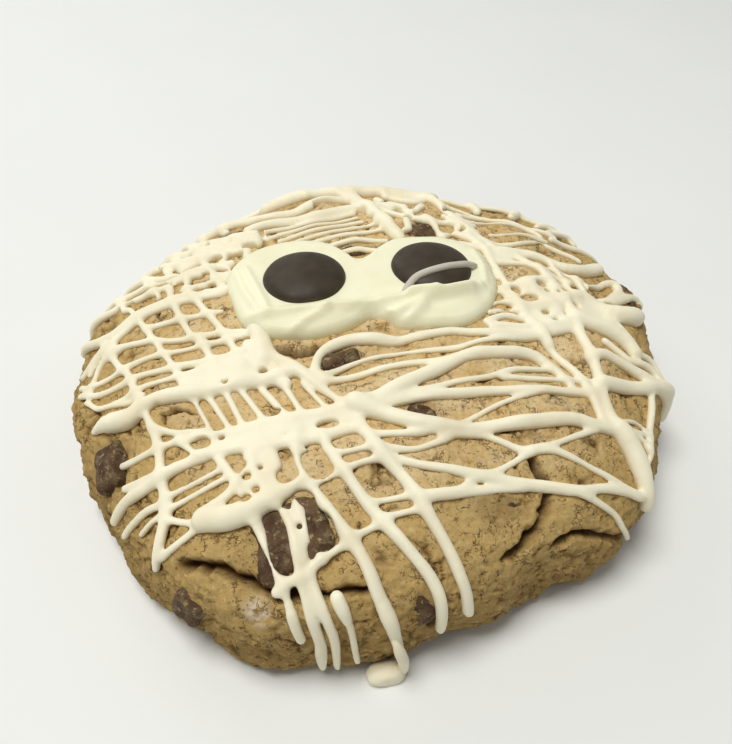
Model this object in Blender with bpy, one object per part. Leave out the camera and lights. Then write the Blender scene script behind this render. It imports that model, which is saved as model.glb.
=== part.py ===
"""An iced chocolate chunk cookie: a crackled dough round under a net of piped icing drizzle, with a
goggle-shaped icing mask, two candy lentils for eyes, and chocolate chunks half sunk in the dough.

The object is in metres with +Z up, and stands on z = 0 with its box centred on the origin. Lengths in this
file are in millimetres, and MM turns them to metres where a mesh is made. A place on the cookie is a pair
(u, v) on its crust: millimetres measured along the surface from the crown, +v to the back.
"""
import math
import random

import bmesh
import bpy
import numpy as np
from mathutils import Matrix, Vector, noise

MM = 0.001
GAP = 0.3  # clearance between two nodes that touch on the real cookie

# Dough round
RADIUS = 50.0
HEIGHT = 24.0
RIM_HEIGHT = 8.0  # where the side is widest
DOME_POWER = 2.5  # 2 is an ellipse, more is flatter on top
BASE_RATIO = 0.93  # base radius over the widest radius
LOBES = ((2, 0.7, 2.2), (3, 0.5, -0.1), (4, -0.4, 0.0), (5, -0.5, 0.9))  # order, cosine, sine
BULGES = ((-115.0, 20.0, 0.6), (180.0, 16.0, 1.2), (-58.0, 10.0, 1.0))  # degrees, degrees, mm
LUMPS = ((13.0, 1.3), (6.0, 0.7))  # size and height of the swells in the crust
LUMP_SEED = Vector((31.7, 8.2, 4.4))
BASE_ANGLE = math.radians(128.0)  # polar angle of the sphere that becomes the foot of the side
DOUGH_DETAIL = 6
DOUGH_KEEP = 0.14  # share of the dough's faces that is kept
ICED_KEEP = 0.42  # share kept of the faces that the dough and the drizzle have together
SHARP_ANGLE = math.radians(50.0)
FLAT_ANGLE = 0.01
WELD = 0.01
MASK_REACH = 18.0  # from an eye's middle, where the crust is no longer smoothed under the mask
MASK_FADE = 5.0

# Main cracks: depth, half width, and the line that each follows
CRACKS = (
    (3.2, 1.5, ((14.1, -33.1), (15.6, -36.8), (15.2, -39.8), (13.5, -42.1), (10.0, -45.2), (7.4, -46.3))),
    (2.8, 1.5, (
        (-35.6, -39.4), (-30.0, -41.9), (-26.2, -44.5), (-23.0, -46.6), (-18.0, -47.0), (-12.0, -47.5),
    )),
    (2.6, 1.6, ((16.8, -45.1), (18.8, -43.9), (24.4, -44.8), (30.0, -45.5), (35.0, -44.0))),
    (2.2, 1.4, ((-46.4, -16.5), (-44.6, -20.5), (-45.2, -24.5))),
    (1.8, 1.4, ((-18.3, -8.0), (-15.5, -9.4), (-13.0, -9.0))),
    (2.2, 1.4, ((-5.3, -49.8), (-4.2, -52.0), (-3.7, -54.8))),
    (2.0, 1.4, ((30.0, 35.0), (37.0, 27.0), (45.0, 22.0))),
    (2.0, 1.4, ((-30.0, 46.0), (-14.0, 50.0), (2.0, 48.0), (17.0, 51.0))),
)

# Drizzle: radius, then the points that a strand passes through on the crust, some with their own radius
STRAND_RISE = 0.25  # height of a strand's middle over the crust, in radii
STRAND_STEP = 4.2
STRAND_CLEARANCE = 0.5  # least height of a strand's underside over the table
LEFT_STRANDS = (
    (0.8, (
        (-47, 4.5), (-44.5, -1.5), (-41.7, -6.5), (-39.8, -12.7), (-37.7, -19), (-36.8, -29.3),
        (-40.1, -38.6),
    )),
    (0.7, ((-41.6, 9.5), (-40.1, 5.9), (-36.6, -2.4), (-34.2, -8.2), (-32.8, -12.7))),
    (0.75, ((-34.8, 11.2), (-33.5, 4.8), (-30.2, -2.9), (-28.9, -6.6), (-27.3, -11.8))),
    (0.7, ((-30.9, 7.6), (-28.4, 2.3), (-26.3, -2.7), (-24.5, -8.2), (-24, -11))),
    (1.1, ((-19.8, -10), (-17, -12.2), (-14.6, -15), (-11, -20.5))),
    (0.75, ((-52, 0.1), (-46.2, 2.6), (-41.4, 4.8), (-37.6, 6.5), (-32.8, 6.8), (-27, 7.2))),
    (0.7, ((-46.4, 1.5), (-38.9, 0.2), (-35.3, -1.2), (-29.8, -2), (-25, -3.2))),
    (0.7, ((-52, -2.4), (-49.2, -3.8), (-37, -4.2), (-25, -4.3))),
    (0.75, ((-52, -4.3), (-47, -6.8), (-38.1, -7.7), (-29.8, -8.2), (-22.6, -7.7))),
    (0.7, ((-50.6, -6.6), (-47, -9.8), (-38.6, -10.3), (-28.4, -9.9))),
    (1.4, ((-46.6, -13.4), (-44.5, -14), (-38.7, -13.8), (-29.8, -14.2), (-21.4, -13.8), (-17.5, -13.4))),
    (0.7, ((-44.5, -21.5), (-40.9, -22.1), (-36.4, -21.8), (-29.8, -22.1))),
    (0.85, ((-47.6, -29.1), (-43.7, -27.6), (-38.7, -27.1), (-32.6, -25.7), (-29, -25.2))),
    (0.7, ((-46, -32.2), (-44.2, -31.4), (-37, -30.4), (-28.9, -28.2))),
    (0.7, ((-38.1, -37.6), (-34.8, -36.4), (-31.4, -35.1))),
    (1.5, ((-31.2, -34.8), (-28.1, -35.4), (-24.8, -34.8), (-21.5, -33.6, 1.1), (-18.5, -32.4, 0.8))),
    (0.75, ((-31.7, -34.3), (-27.8, -32.1), (-26.2, -30.4))),
    (0.7, ((-31.6, -15.4), (-29.5, -21.2))),
    (0.7, ((-26.9, -15.7), (-25.1, -21.2))),
    (0.7, ((-21.6, -15.8), (-19.1, -21.1))),
)
FRONT_STRANDS = (
    (0.75, ((-25.1, -35.8), (-23.7, -40.4), (-22.5, -46.3), (-22.3, -48.6), (-22.3, -52.6))),
    (0.85, ((-21, -34), (-20.4, -39.8), (-20.3, -45.7), (-20, -53.6), (-20.9, -56.6), (-22.9, -61.9))),
    (0.7, ((-19, -44.8), (-18.1, -50.7), (-18.1, -54.8), (-20.3, -61.9))),
    (0.7, ((-16.2, -47.7, 1.0), (-15.5, -50.7), (-15.4, -53.1), (-16.2, -59.4))),
    (1.0, (
        (-17.6, -24.5), (-18.2, -30.2, 0.8), (-15.1, -37.5), (-12.1, -43.4), (-10.3, -50.7), (-9.3, -59.5),
    )),
    (0.9, ((-14.5, -24.5), (-11.4, -34.2), (-5.9, -43.6), (-3.4, -47.8), (-2.6, -52.5), (-2.6, -55))),
    (0.9, ((-9.2, -23.5), (-7.5, -29.3), (-2.7, -39.1), (-0.5, -44.3), (0.9, -48.9), (1.7, -52.6))),
    (0.7, ((-23.7, -45.7), (-19.7, -44.5), (-17.6, -43.1), (-13.4, -41.4))),
    (0.7, ((-18, -33.2), (-14.6, -32.4), (-10.7, -31.4), (-6.9, -30.8))),
)
RIGHT_STRANDS = (
    (0.9, (
        (-12.3, -15.7), (-13.4, -14.3), (-13, -12), (-11.4, -10.4), (-5, -9.9), (0, -9.9), (18.2, -10.3),
        (31, -8.5),
    )),
    (0.7, ((-12.5, -14.9), (-8, -13.3), (0, -12.5), (8.8, -12.8), (18, -11.4), (24, -10.6))),
    (0.7, ((-12.3, -16), (-8, -15.9), (-3.5, -15.5), (7, -15.1))),
    (1.1, (
        (-9, -21.5), (-2.5, -19.6), (5.9, -16.1), (8.8, -15.1), (20, -14.7), (21.8, -15.8),
        (24.8, -21, 0.8),
    )),
    (0.7, ((-6, -21.6), (5.9, -19.6), (16.5, -18), (22.4, -17.7))),
    (0.8, ((-7.5, -22.2), (6.5, -21.6), (12.9, -22), (19.4, -22.1), (28, -22.6))),
    (1.1, ((-9, -21.6, 1.4), (-6, -23.4), (-1.5, -26), (4.4, -27.3), (10.3, -27.6), (22, -27.6), (30, -29))),
    (0.7, (
        (-6.5, -29.4), (-1.6, -30.2), (3.4, -28.4), (7.4, -28.6), (13.2, -31.7), (24.1, -35.5),
        (31.2, -38.9),
    )),
    (0.8, ((-5.4, -31.2), (-0.7, -33.1), (7.1, -35.2), (20, -38.1), (25, -38), (31.8, -38.9))),
    (0.7, ((-2.8, -36.9), (1.8, -36.7), (8.8, -34.3), (14.1, -32.3), (25.5, -29.2))),
    (0.7, ((20.3, -38.7), (25.9, -41.4), (27.9, -43.3), (30.9, -45.1))),
    (0.75, ((23.5, -9.9), (24.6, -13.8), (27.1, -20.2), (27.6, -25), (27.4, -28))),
    (1.0, (
        (22.6, 8.3, 0.8), (27.8, 7.5, 0.8), (29.9, 2.1), (30.7, -6.2), (30, -19.6), (30.3, -29.5, 1.5),
        (33.1, -37.3, 1.4), (34.3, -39.8, 1.2),
    )),
    (0.8, ((17, 25), (24, 13.5), (28, 9.4), (30.9, 4.5), (34.6, -0.8))),
    (0.9, ((29.9, -15.8), (35.8, -16.4), (40.2, -17.9), (52, -20.5))),
    (1.0, ((29.9, -20.8), (38.7, -20.5), (41.6, -19.6), (47.5, -18.2))),
    (1.2, ((17.5, 14.6, 0.9), (20.5, 13.2), (28.9, 11.6), (35.8, 8.6), (39.2, 8.7, 1.35), (44.6, 11, 1.4))),
    (0.8, ((36.4, 5), (36, 1.5), (38.4, -1.5), (41.9, 0.4), (46, 5.2), (41.4, 4.1), (37.8, 2.2))),
    (0.9, ((38.8, -1.8), (44.7, 1.1), (51.3, 3.4))),
    (1.3, ((31.3, -1.9, 1.0), (37.2, -3.2), (39.6, -4.8, 1.7), (42.6, -4.7, 1.9), (45.4, -3.4, 1.2))),
    (1.3, ((31.1, -7), (37.1, -9.1), (40.4, -12.8, 0.8))),
    (0.8, ((16.5, 20), (21.2, 13.6), (21.4, 4), (22.2, -5.2), (24.2, -12.5))),
)
# Families of strands: radius, count, ends of the first strand, ends of the last one
FAMILIES = (
    (0.9, 5, ((-52, 16), (-24, 7)), ((-34, 44), (-10, 22))),
    (0.9, 5, ((-47, 24), (-38, 4)), ((-24, 44), (-22, 17))),
    (0.9, 4, ((-19, 25), (6, 31)), ((-30, 38), (14, 44))),
    (1.0, 5, ((-8, 22), (-22, 59)), ((22, 22), (33, 50))),
    (0.9, 4, ((24, 24), (-6, 34)), ((46, 38), (-2, 54))),
    (0.9, 3, ((20, 19), (50, 24)), ((18, 26), (42, 38))),
)
FAMILY_SEED = 7
FAMILY_WANDER = 1.6
# Pools where strands ran together: place, half length, half width, turn in degrees
POOLS = (
    ((-23.5, -23.8), 7.4, 2.6, 3.0),
    ((-14.0, -23.6), 5.5, 2.2, 0.0),
    ((-23.2, -30.0), 2.9, 4.6, 0.0),
    ((-26.5, -11.6), 6.6, 2.8, -3.0),
    ((-19.4, -39.0), 1.5, 5.0, 0.0),
    ((25.6, -2.4), 4.4, 5.8, 0.0),
    ((35.2, -5.4), 4.4, 3.2, -8.0),
    ((3.0, 31.5), 4.0, 3.4, 10.0),
    ((-28.0, 23.0), 6.0, 3.8, 45.0),
)
POOL_HEIGHT = 1.3
# The drip that ran off the side: its fall from the rim to the table, and the drop it made there
FALL_RADIUS = 0.75
FALL = ((-8.6, -50.9, 9.0), (-7.9, -51.2, 6.5), (-7.4, -50.9, 4.0), (-7.2, -50.5, 1.2))
DROP_PLACE = (-9.5, -50.6, 0.8)
DROP_SIZE = (2.7, 1.5, 1.5)

# Icing mask
MASK_MIDDLE = (-2.5, 3.5)
MASK_OUTLINE = (
    (19.9, 6), (19.8, 10), (18.3, 13.2), (14.5, 15.3), (10, 16.3), (6, 16.3), (2.5, 14.4), (-1, 11.4),
    (-3.3, 11.4), (-5, 14), (-7.5, 17), (-11, 18.4), (-16, 18.6), (-20.5, 17), (-23.8, 13.6), (-25.2, 9.5),
    (-24.6, 4), (-23.6, -1.2), (-21, -4.8), (-16, -6.8), (-12, -7.2), (-7.5, -6.3), (-3.5, -4.4),
    (-1.2, -5), (1.2, -7.2), (7, -7.9), (11.5, -7.8), (14.8, -6), (17.8, -3), (19.5, 1.2),
)
MASK_STEP = 2.9
MASK_RINGS = 10
MASK_HEIGHT = 2.4
MASK_SINK = 1.3
MASK_EDGE = 3.2  # width of its rounded edge
MASK_EDGE_GROWTH = 2.2  # the outline runs askew to the line from the middle, so its pocket grows by more
MASK_RIDGES = (
    (0.8, 1.4, (
        (-24, 11), (-22.6, 4), (-20.4, -2.6), (-10, -3), (-3, -3.9), (4, -3.1), (12, -3.6), (16.5, -1),
    )),
    (0.6, 1.6, ((-16.5, -5.6), (-12, -6), (-7.5, -5.2))),
    (0.6, 1.3, ((2, -7), (9, -6), (14.5, -3.2))),
)

# Eyes
EYE_PLACES = {"eye_left": (-12.4, 5.3), "eye_right": (8.9, 5.0)}
EYE_RADIUS = 6.8
EYE_HALF_THICKNESS = 2.5
EYE_LIFT = 2.2  # height of a lens's middle over the crust
EYE_STRAND_RADIUS = 0.6
EYE_STRAND_RISE = 0.6  # height of its middle over what it crosses, in radii
EYE_STRAND_STEP = 2.0
EYE_SEGMENTS, EYE_RINGS = 20, 8
EYE_STRAND = (
    (2.6, -1.2), (3.9, 0.2), (5.0, 0.8), (6.8, 1.2), (8.8, 1.6), (10.8, 2.1), (12.9, 2.7), (15.3, 3.9),
    (16.6, 4.5),
)


# Chocolate chunks: place, half sizes along u, v and the normal, turn in degrees, how far its middle is sunk
CHUNKS = (
    ((-20.5, -39.5), (5.6, 4.6, 3.2), 15.0, 2.7),
    ((-46.8, -20.4), (3.0, 3.6, 3.0), 0.0, 2.4),
    ((-39.0, -46.0), (3.6, 2.6, 2.6), 30.0, 1.9),
    ((-9.4, -11.9), (3.2, 1.7, 2.2), 10.0, 1.9),
    ((0.2, -23.9), (2.3, 1.4, 2.0), -25.0, 1.6),
    ((7.2, -38.8), (3.6, 2.0, 2.4), -10.0, 2.4),
    ((11.6, 21.2), (3.4, 2.5, 2.6), 0.0, 2.2),
    ((-23.5, 28.0), (3.4, 2.4, 2.6), 20.0, 2.2),
    ((-2.2, 15.4), (2.6, 1.5, 1.8), 0.0, 1.5),
    ((50.5, 4.5), (3.2, 3.4, 2.6), 0.0, 1.8),
    ((-4.4, -51.8), (2.0, 2.6, 2.2), 0.0, 2.0),
    ((10.0, 53.0), (4.2, 3.0, 2.8), 10.0, 2.0),
    ((30.0, 45.0), (3.4, 2.8, 2.6), 40.0, 1.9),
)
CHUNK_POWER = 4.0  # 2 is an ellipsoid, more is boxier
CHUNK_ROUGHNESS = 0.16
CHUNK_BUMPS = 1.3  # bumps to a half size
CHUNK_SEED_STEP = 7.1
CHUNK_WELL = 1.2  # depth of the dip in the dough round a chunk

# Colours and roughness
DOUGH_LOOK = ((0.50, 0.35, 0.16), 0.9)
ICING_LOOK = ((0.88, 0.83, 0.66), 0.45)
CANDY_LOOK = ((0.045, 0.030, 0.024), 0.35)
CHOCOLATE_LOOK = ((0.085, 0.045, 0.025), 0.6)


# The crust's form

def profile_table():
    """Arc length from the crown, radius and height along the dough's side, for a radius of 1."""
    dome = np.linspace(0.0, math.pi / 2, 300)
    foot = np.linspace(0.0, math.pi / 2, 80)[1:]
    radius = np.concatenate([
        np.sin(dome) ** (2 / DOME_POWER),
        BASE_RATIO + (1 - BASE_RATIO) * np.cos(foot),
    ])
    height = np.concatenate([
        RIM_HEIGHT + (HEIGHT - RIM_HEIGHT) * np.cos(dome) ** (2 / DOME_POWER),
        RIM_HEIGHT * (1 - np.sin(foot)),
    ])
    steps = np.hypot(np.diff(radius), np.diff(height) / RADIUS)
    return np.concatenate([[0.0], np.cumsum(steps)]), radius, height


ARC, ARC_RADIUS, ARC_HEIGHT = profile_table()
ARC_END = float(ARC[-1])


def outline_radius(angle):
    radius = RADIUS
    for order, cosine, sine in LOBES:
        radius += cosine * math.cos(order * angle) + sine * math.sin(order * angle)
    for centre, width, height in BULGES:
        turn = (math.degrees(angle) - centre + 180) % 360 - 180
        radius += height * math.exp(-((turn / width) ** 2))
    return radius


def crust_point(u, v):
    angle = math.atan2(v, u)
    scale = outline_radius(angle)
    arc = min(math.hypot(u, v) / scale, ARC_END)
    radius = scale * float(np.interp(arc, ARC, ARC_RADIUS))
    height = float(np.interp(arc, ARC, ARC_HEIGHT))
    return Vector((radius * math.cos(angle), radius * math.sin(angle), height))


def crust_axes(u, v, step=0.8):
    """Directions on the crust of +u, +v and the outward normal."""
    across = (crust_point(u + step, v) - crust_point(u - step, v)).normalized()
    along = crust_point(u, v + step) - crust_point(u, v - step)
    normal = across.cross(along).normalized()
    return across, normal.cross(across), normal


def distance_to_line(u, v, line):
    """Distance on the crust from (u, v) to a broken line."""
    nearest = math.inf
    here = Vector((u, v))
    for start, end in zip(line, line[1:]):
        start, along = Vector(start), Vector(end) - Vector(start)
        share = max(0.0, min(1.0, (here - start).dot(along) / along.length_squared))
        nearest = min(nearest, (here - start - along * share).length)
    return nearest


def inside_mask(u, v):
    """Rough share, 1 in the mask and 0 well outside it."""
    reach = min(math.hypot(u - place[0], v - place[1]) for place in EYE_PLACES.values())
    return max(0.0, min(1.0, (MASK_REACH - reach) / MASK_FADE))


def lumps(u, v):
    place = crust_point(u, v) + LUMP_SEED
    height = sum(tall * noise.noise(place / size) for size, tall in LUMPS)
    return height * (1 - inside_mask(u, v))


def dough_relief(u, v):
    height = lumps(u, v)
    for depth, half_width, line in CRACKS:
        height -= depth * math.exp(-((distance_to_line(u, v, line) / half_width) ** 2))
    for place, half_sizes, _, _ in CHUNKS:
        reach = math.hypot((u - place[0]) / (half_sizes[0] + 1), (v - place[1]) / (half_sizes[1] + 1))
        height -= CHUNK_WELL * math.exp(-(reach**4))
    return height


# Meshes and modifiers

def new_material(name, look):
    colour, roughness = look
    material = bpy.data.materials.new(name)
    material.use_nodes = True
    shader = material.node_tree.nodes["Principled BSDF"]
    shader.inputs["Base Color"].default_value = (*colour, 1)
    shader.inputs["Roughness"].default_value = roughness
    return material


def new_collection(name):
    collection = bpy.data.collections.new(name)
    bpy.context.scene.collection.children.link(collection)
    return collection


def new_object(name, mesh, material, collection):
    mesh.materials.clear()
    mesh.materials.append(material)
    mesh.shade_smooth()
    mesh.set_sharp_from_angle(angle=SHARP_ANGLE)
    obj = bpy.data.objects.new(name, mesh)
    collection.objects.link(obj)
    return obj


def mesh_from(name, shape):
    mesh = bpy.data.meshes.new(name)
    shape.to_mesh(mesh)
    shape.free()
    return mesh


def apply_modifiers(obj):
    """Turns what the modifiers show into the object's own mesh."""
    graph = bpy.context.evaluated_depsgraph_get()
    mesh = bpy.data.meshes.new_from_object(obj.evaluated_get(graph))
    obj.modifiers.clear()
    obj.data = mesh


def add_boolean(obj, operation, collection):
    modifier = obj.modifiers.new(operation.lower(), "BOOLEAN")
    modifier.operation = operation
    modifier.operand_type = "COLLECTION"
    modifier.collection = collection
    modifier.solver = "MANIFOLD"


def thin_out(obj, keep):
    modifier = obj.modifiers.new("fewer faces", "DECIMATE")
    modifier.ratio = keep
    modifier.use_collapse_triangulate = True
    apply_modifiers(obj)


def remove_collection(collection):
    for obj in list(collection.objects):
        bpy.data.objects.remove(obj)
    bpy.data.collections.remove(collection)


def flatten_base(obj):
    """Sets the points that lie near the table exactly on it."""
    for vert in obj.data.vertices:
        if vert.co.z < GAP * MM:
            vert.co.z = 0


def keep_largest_body(obj):
    """Drops loose scraps and fills sealed hollows: both are bodies of their own in the mesh."""
    shape = bmesh.new()
    shape.from_mesh(obj.data)
    waiting = set(shape.verts)
    bodies = []
    while waiting:
        front = [waiting.pop()]
        body = list(front)
        while front:
            here = front.pop()
            reached = {edge.other_vert(here) for edge in here.link_edges} & waiting
            waiting -= reached
            front.extend(reached)
            body.extend(reached)
        bodies.append(body)
    largest = max(bodies, key=len)
    scraps = [vert for body in bodies if body is not largest for vert in body]
    bmesh.ops.delete(shape, geom=scraps, context="VERTS")
    shape.to_mesh(obj.data)
    shape.free()


def smooth_points(points, step, closed=False):
    """Points about a step apart on a Catmull-Rom curve through the given ones."""
    points = [Vector(point) for point in points]
    if closed:
        ring = [points[-1], *points, points[0], points[1]]
    else:
        ring = [2 * points[0] - points[1], *points, 2 * points[-1] - points[-2]]
    smooth = []
    for before, start, end, after in zip(ring, ring[1:], ring[2:], ring[3:]):
        count = max(1, round((end - start).length / step))
        for part in range(count):
            t = part / count
            smooth.append(0.5 * (
                2 * start + (end - before) * t
                + (2 * before - 5 * start + 4 * end - after) * t**2
                + (3 * start - before - 3 * end + after) * t**3
            ))
    return smooth if closed else [*smooth, points[-1]]


def tube(name, places, radii, material, collection):
    """A round strand through the given points, as one closed mesh."""
    curve = bpy.data.curves.new(name, "CURVE")
    curve.dimensions = "3D"
    curve.bevel_depth = MM
    curve.bevel_resolution = 1
    curve.use_fill_caps = True
    spline = curve.splines.new("POLY")
    spline.points.add(len(places) - 1)
    for point, place, radius in zip(spline.points, places, radii):
        point.co = (*(place * MM), 1)
        point.radius = radius
    guide = bpy.data.objects.new(name, curve)
    collection.objects.link(guide)
    graph = bpy.context.evaluated_depsgraph_get()
    mesh = bpy.data.meshes.new_from_object(guide.evaluated_get(graph))
    world = guide.matrix_world.copy()
    bpy.data.objects.remove(guide)
    shape = bmesh.new()
    shape.from_mesh(mesh)
    bmesh.ops.remove_doubles(shape, verts=shape.verts, dist=WELD * MM)
    shape.to_mesh(mesh)
    shape.free()
    obj = new_object(name, mesh, material, collection)
    obj.matrix_world = world
    return obj


def seat(obj, u, v, lift, turn=0.0):
    """Stands an object on the crust at (u, v), its own +Z along the normal."""
    across, along, normal = crust_axes(u, v)
    frame = Matrix((across, along, normal)).transposed() @ Matrix.Rotation(math.radians(turn), 3, "Z")
    place = (crust_point(u, v) + normal * lift) * MM
    obj.matrix_world = Matrix.Translation(place) @ frame.to_4x4()


# The dough

def dough_vertex(direction):
    """Where a point of the unit sphere goes on the dough, with equal areas kept equal."""
    angle = math.atan2(direction.y, direction.x)
    polar = math.acos(max(-1.0, min(1.0, direction.z)))
    scale = outline_radius(angle)
    if polar > BASE_ANGLE:
        radius = BASE_RATIO * scale * math.sin((math.pi - polar) / 2) / math.sin((math.pi - BASE_ANGLE) / 2)
        return Vector((radius * math.cos(angle), radius * math.sin(angle), 0))
    arc = ARC_END * scale * math.sin(polar / 2) / math.sin(BASE_ANGLE / 2)
    u, v = arc * math.cos(angle), arc * math.sin(angle)
    place = crust_point(u, v) + crust_axes(u, v)[2] * dough_relief(u, v)
    return Vector((place.x, place.y, max(place.z, 0)))


def make_dough(material, collection):
    shape = bmesh.new()
    bmesh.ops.create_icosphere(shape, subdivisions=DOUGH_DETAIL, radius=1)
    for vert in shape.verts:
        vert.co = dough_vertex(vert.co) * MM
    dough = new_object("cookie", mesh_from("cookie", shape), material, collection)
    thin_out(dough, DOUGH_KEEP)
    flatten_base(dough)
    return dough


# The drizzle

def strand_course(line, radius):
    """The middle of a strand in space, and its radius at each point."""
    places, radii = [], []
    line = [point if len(point) == 3 else (*point, radius) for point in line]
    for u, v, radius_here in smooth_points(line, STRAND_STEP):
        place = crust_point(u, v) + crust_axes(u, v)[2] * (lumps(u, v) + STRAND_RISE * radius_here)
        place.z = max(place.z, radius_here + STRAND_CLEARANCE)
        places.append(place)
        radii.append(radius_here)
    return places, radii


def family_lines(count, first, last, draw):
    """Strands spread evenly from the first to the last, each bent a little to one side."""
    for index in range(count):
        share = index / (count - 1)
        start = Vector(first[0]).lerp(Vector(last[0]), share)
        end = Vector(first[1]).lerp(Vector(last[1]), share)
        wander = Vector([draw.uniform(-FAMILY_WANDER, FAMILY_WANDER) for _ in range(2)])
        yield start + wander, start.lerp(end, 0.5) - wander, end + wander


def make_drizzle(material, collection):
    draw = random.Random(FAMILY_SEED)
    strands = [*LEFT_STRANDS, *FRONT_STRANDS, *RIGHT_STRANDS]
    for radius, count, first, last in FAMILIES:
        strands += [(radius, line) for line in family_lines(count, first, last, draw)]
    for number, (radius, line) in enumerate(strands):
        tube(f"strand_{number}", *strand_course(line, radius), material, collection)
    for number, (place, half_length, half_width, turn) in enumerate(POOLS):
        shape = bmesh.new()
        bmesh.ops.create_icosphere(shape, subdivisions=2, radius=MM)
        bmesh.ops.scale(shape, vec=(half_length, half_width, POOL_HEIGHT), verts=shape.verts)
        pool = new_object(f"pool_{number}", mesh_from("pool", shape), material, collection)
        seat(pool, *place, lumps(*place), turn)
    make_fallen_drip(material, collection)


def make_fallen_drip(material, collection):
    """The longest drip hangs from the rim to a drop on the table, flat underneath."""
    tube("fall", [Vector(place) for place in FALL], [FALL_RADIUS] * len(FALL), material, collection)
    shape = bmesh.new()
    bmesh.ops.create_icosphere(shape, subdivisions=2, radius=MM)
    bmesh.ops.scale(shape, vec=DROP_SIZE, verts=shape.verts)
    for vert in shape.verts:
        vert.co = vert.co + Vector(DROP_PLACE) * MM
        vert.co.z = max(vert.co.z, 0)
    bmesh.ops.dissolve_limit(shape, angle_limit=FLAT_ANGLE, verts=shape.verts, edges=shape.edges)
    new_object("drop", mesh_from("drop", shape), material, collection)


# The icing mask

def mask_top(u, v, edge_distance):
    """Height of the icing over the crust: a rounded edge, then swells where it was piped."""
    rise = min(edge_distance / MASK_EDGE, 1.0)
    height = MASK_HEIGHT * math.sqrt(1 - (1 - rise) ** 2)
    for tall, half_width, line in MASK_RIDGES:
        height += rise * tall * math.exp(-((distance_to_line(u, v, line) / half_width) ** 2))
    return height


def make_mask_body(name, grow, material, collection):
    """A sphere's rings laid out inside the outline: its upper half is the top, its lower half the sole."""
    outline = smooth_points(MASK_OUTLINE, MASK_STEP, closed=True)
    middle = Vector(MASK_MIDDLE)
    shape = bmesh.new()
    bmesh.ops.create_uvsphere(shape, u_segments=len(outline), v_segments=MASK_RINGS, radius=1)
    for vert in shape.verts:
        polar = math.acos(max(-1.0, min(1.0, vert.co.z)))
        turn = math.atan2(vert.co.y, vert.co.x) % math.tau
        edge = outline[round(turn / math.tau * len(outline)) % len(outline)] - middle
        edge = edge.normalized() * (edge.length + grow * MASK_EDGE_GROWTH)
        share = math.sin(polar)
        u, v = middle + edge * share
        if round(vert.co.z, 3) >= 0:
            height = mask_top(u, v, edge.length * (1 - share)) + grow
        else:
            height = -MASK_SINK - grow
        vert.co = (crust_point(u, v) + crust_axes(u, v)[2] * height) * MM
    return new_object(name, mesh_from(name, shape), material, collection)


def eye_clearance(u, v):
    """Least height over the crust of a strand's underside across the right eye and the mask beside it."""
    place = EYE_PLACES["eye_right"]
    reach = math.hypot(u - place[0], v - place[1]) / EYE_RADIUS
    if reach >= 1:
        return MASK_HEIGHT
    return max(MASK_HEIGHT, EYE_LIFT + EYE_HALF_THICKNESS * math.sqrt(1 - reach**2) + GAP)


def make_mask(material, collection, eye_pockets):
    mask = make_mask_body("icing_mask", 0, material, collection)
    over = new_collection("strand over the eye")
    places = []
    for u, v in smooth_points(EYE_STRAND, EYE_STRAND_STEP):
        rise = eye_clearance(u, v) + EYE_STRAND_RISE * EYE_STRAND_RADIUS
        places.append(crust_point(u, v) + crust_axes(u, v)[2] * rise)
    tube("eye_strand", places, [EYE_STRAND_RADIUS] * len(places), material, over)
    add_boolean(mask, "UNION", over)
    add_boolean(mask, "DIFFERENCE", eye_pockets)
    apply_modifiers(mask)
    keep_largest_body(mask)
    remove_collection(over)
    return mask


# The eyes and the chunks

def make_eye(name, place, grow, material, collection):
    shape = bmesh.new()
    bmesh.ops.create_uvsphere(shape, u_segments=EYE_SEGMENTS, v_segments=EYE_RINGS, radius=MM)
    wide = EYE_RADIUS + grow
    bmesh.ops.scale(shape, vec=(wide, wide, EYE_HALF_THICKNESS + grow), verts=shape.verts)
    eye = new_object(name, mesh_from(name, shape), material, collection)
    seat(eye, *place, EYE_LIFT)
    return eye


def make_chunk(number, grow, material, collection):
    place, half_sizes, turn, sunk = CHUNKS[number]
    shape = bmesh.new()
    bmesh.ops.create_icosphere(shape, subdivisions=2, radius=1)
    for vert in shape.verts:
        boxy = sum(abs(part) ** CHUNK_POWER for part in vert.co) ** (-1 / CHUNK_POWER)
        bump = noise.noise(vert.co * CHUNK_BUMPS + Vector((number * CHUNK_SEED_STEP, 0, 0)))
        rough = 1 + CHUNK_ROUGHNESS * bump
        vert.co = Vector([
            part * boxy * (half * rough + grow) * MM for part, half in zip(vert.co, half_sizes)
        ])
    name = f"chocolate_chunk_{number + 1}"
    chunk = new_object(name, mesh_from(name, shape), material, collection)
    seat(chunk, *place, -sunk, turn)
    return chunk


def hide_cutters(collection):
    for obj in collection.objects:
        obj.hide_render = True
        obj.display_type = "WIRE"


def centre_on_origin(collection):
    """Moves everything so that the object's box is centred over the origin."""
    bpy.context.view_layer.update()
    corners = np.array([
        obj.matrix_world @ vert.co for obj in collection.objects for vert in obj.data.vertices
    ])
    middle = (corners.min(axis=0) + corners.max(axis=0)) / 2
    for obj in collection.objects:
        obj.matrix_world = Matrix.Translation((-middle[0], -middle[1], 0)) @ obj.matrix_world


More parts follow.
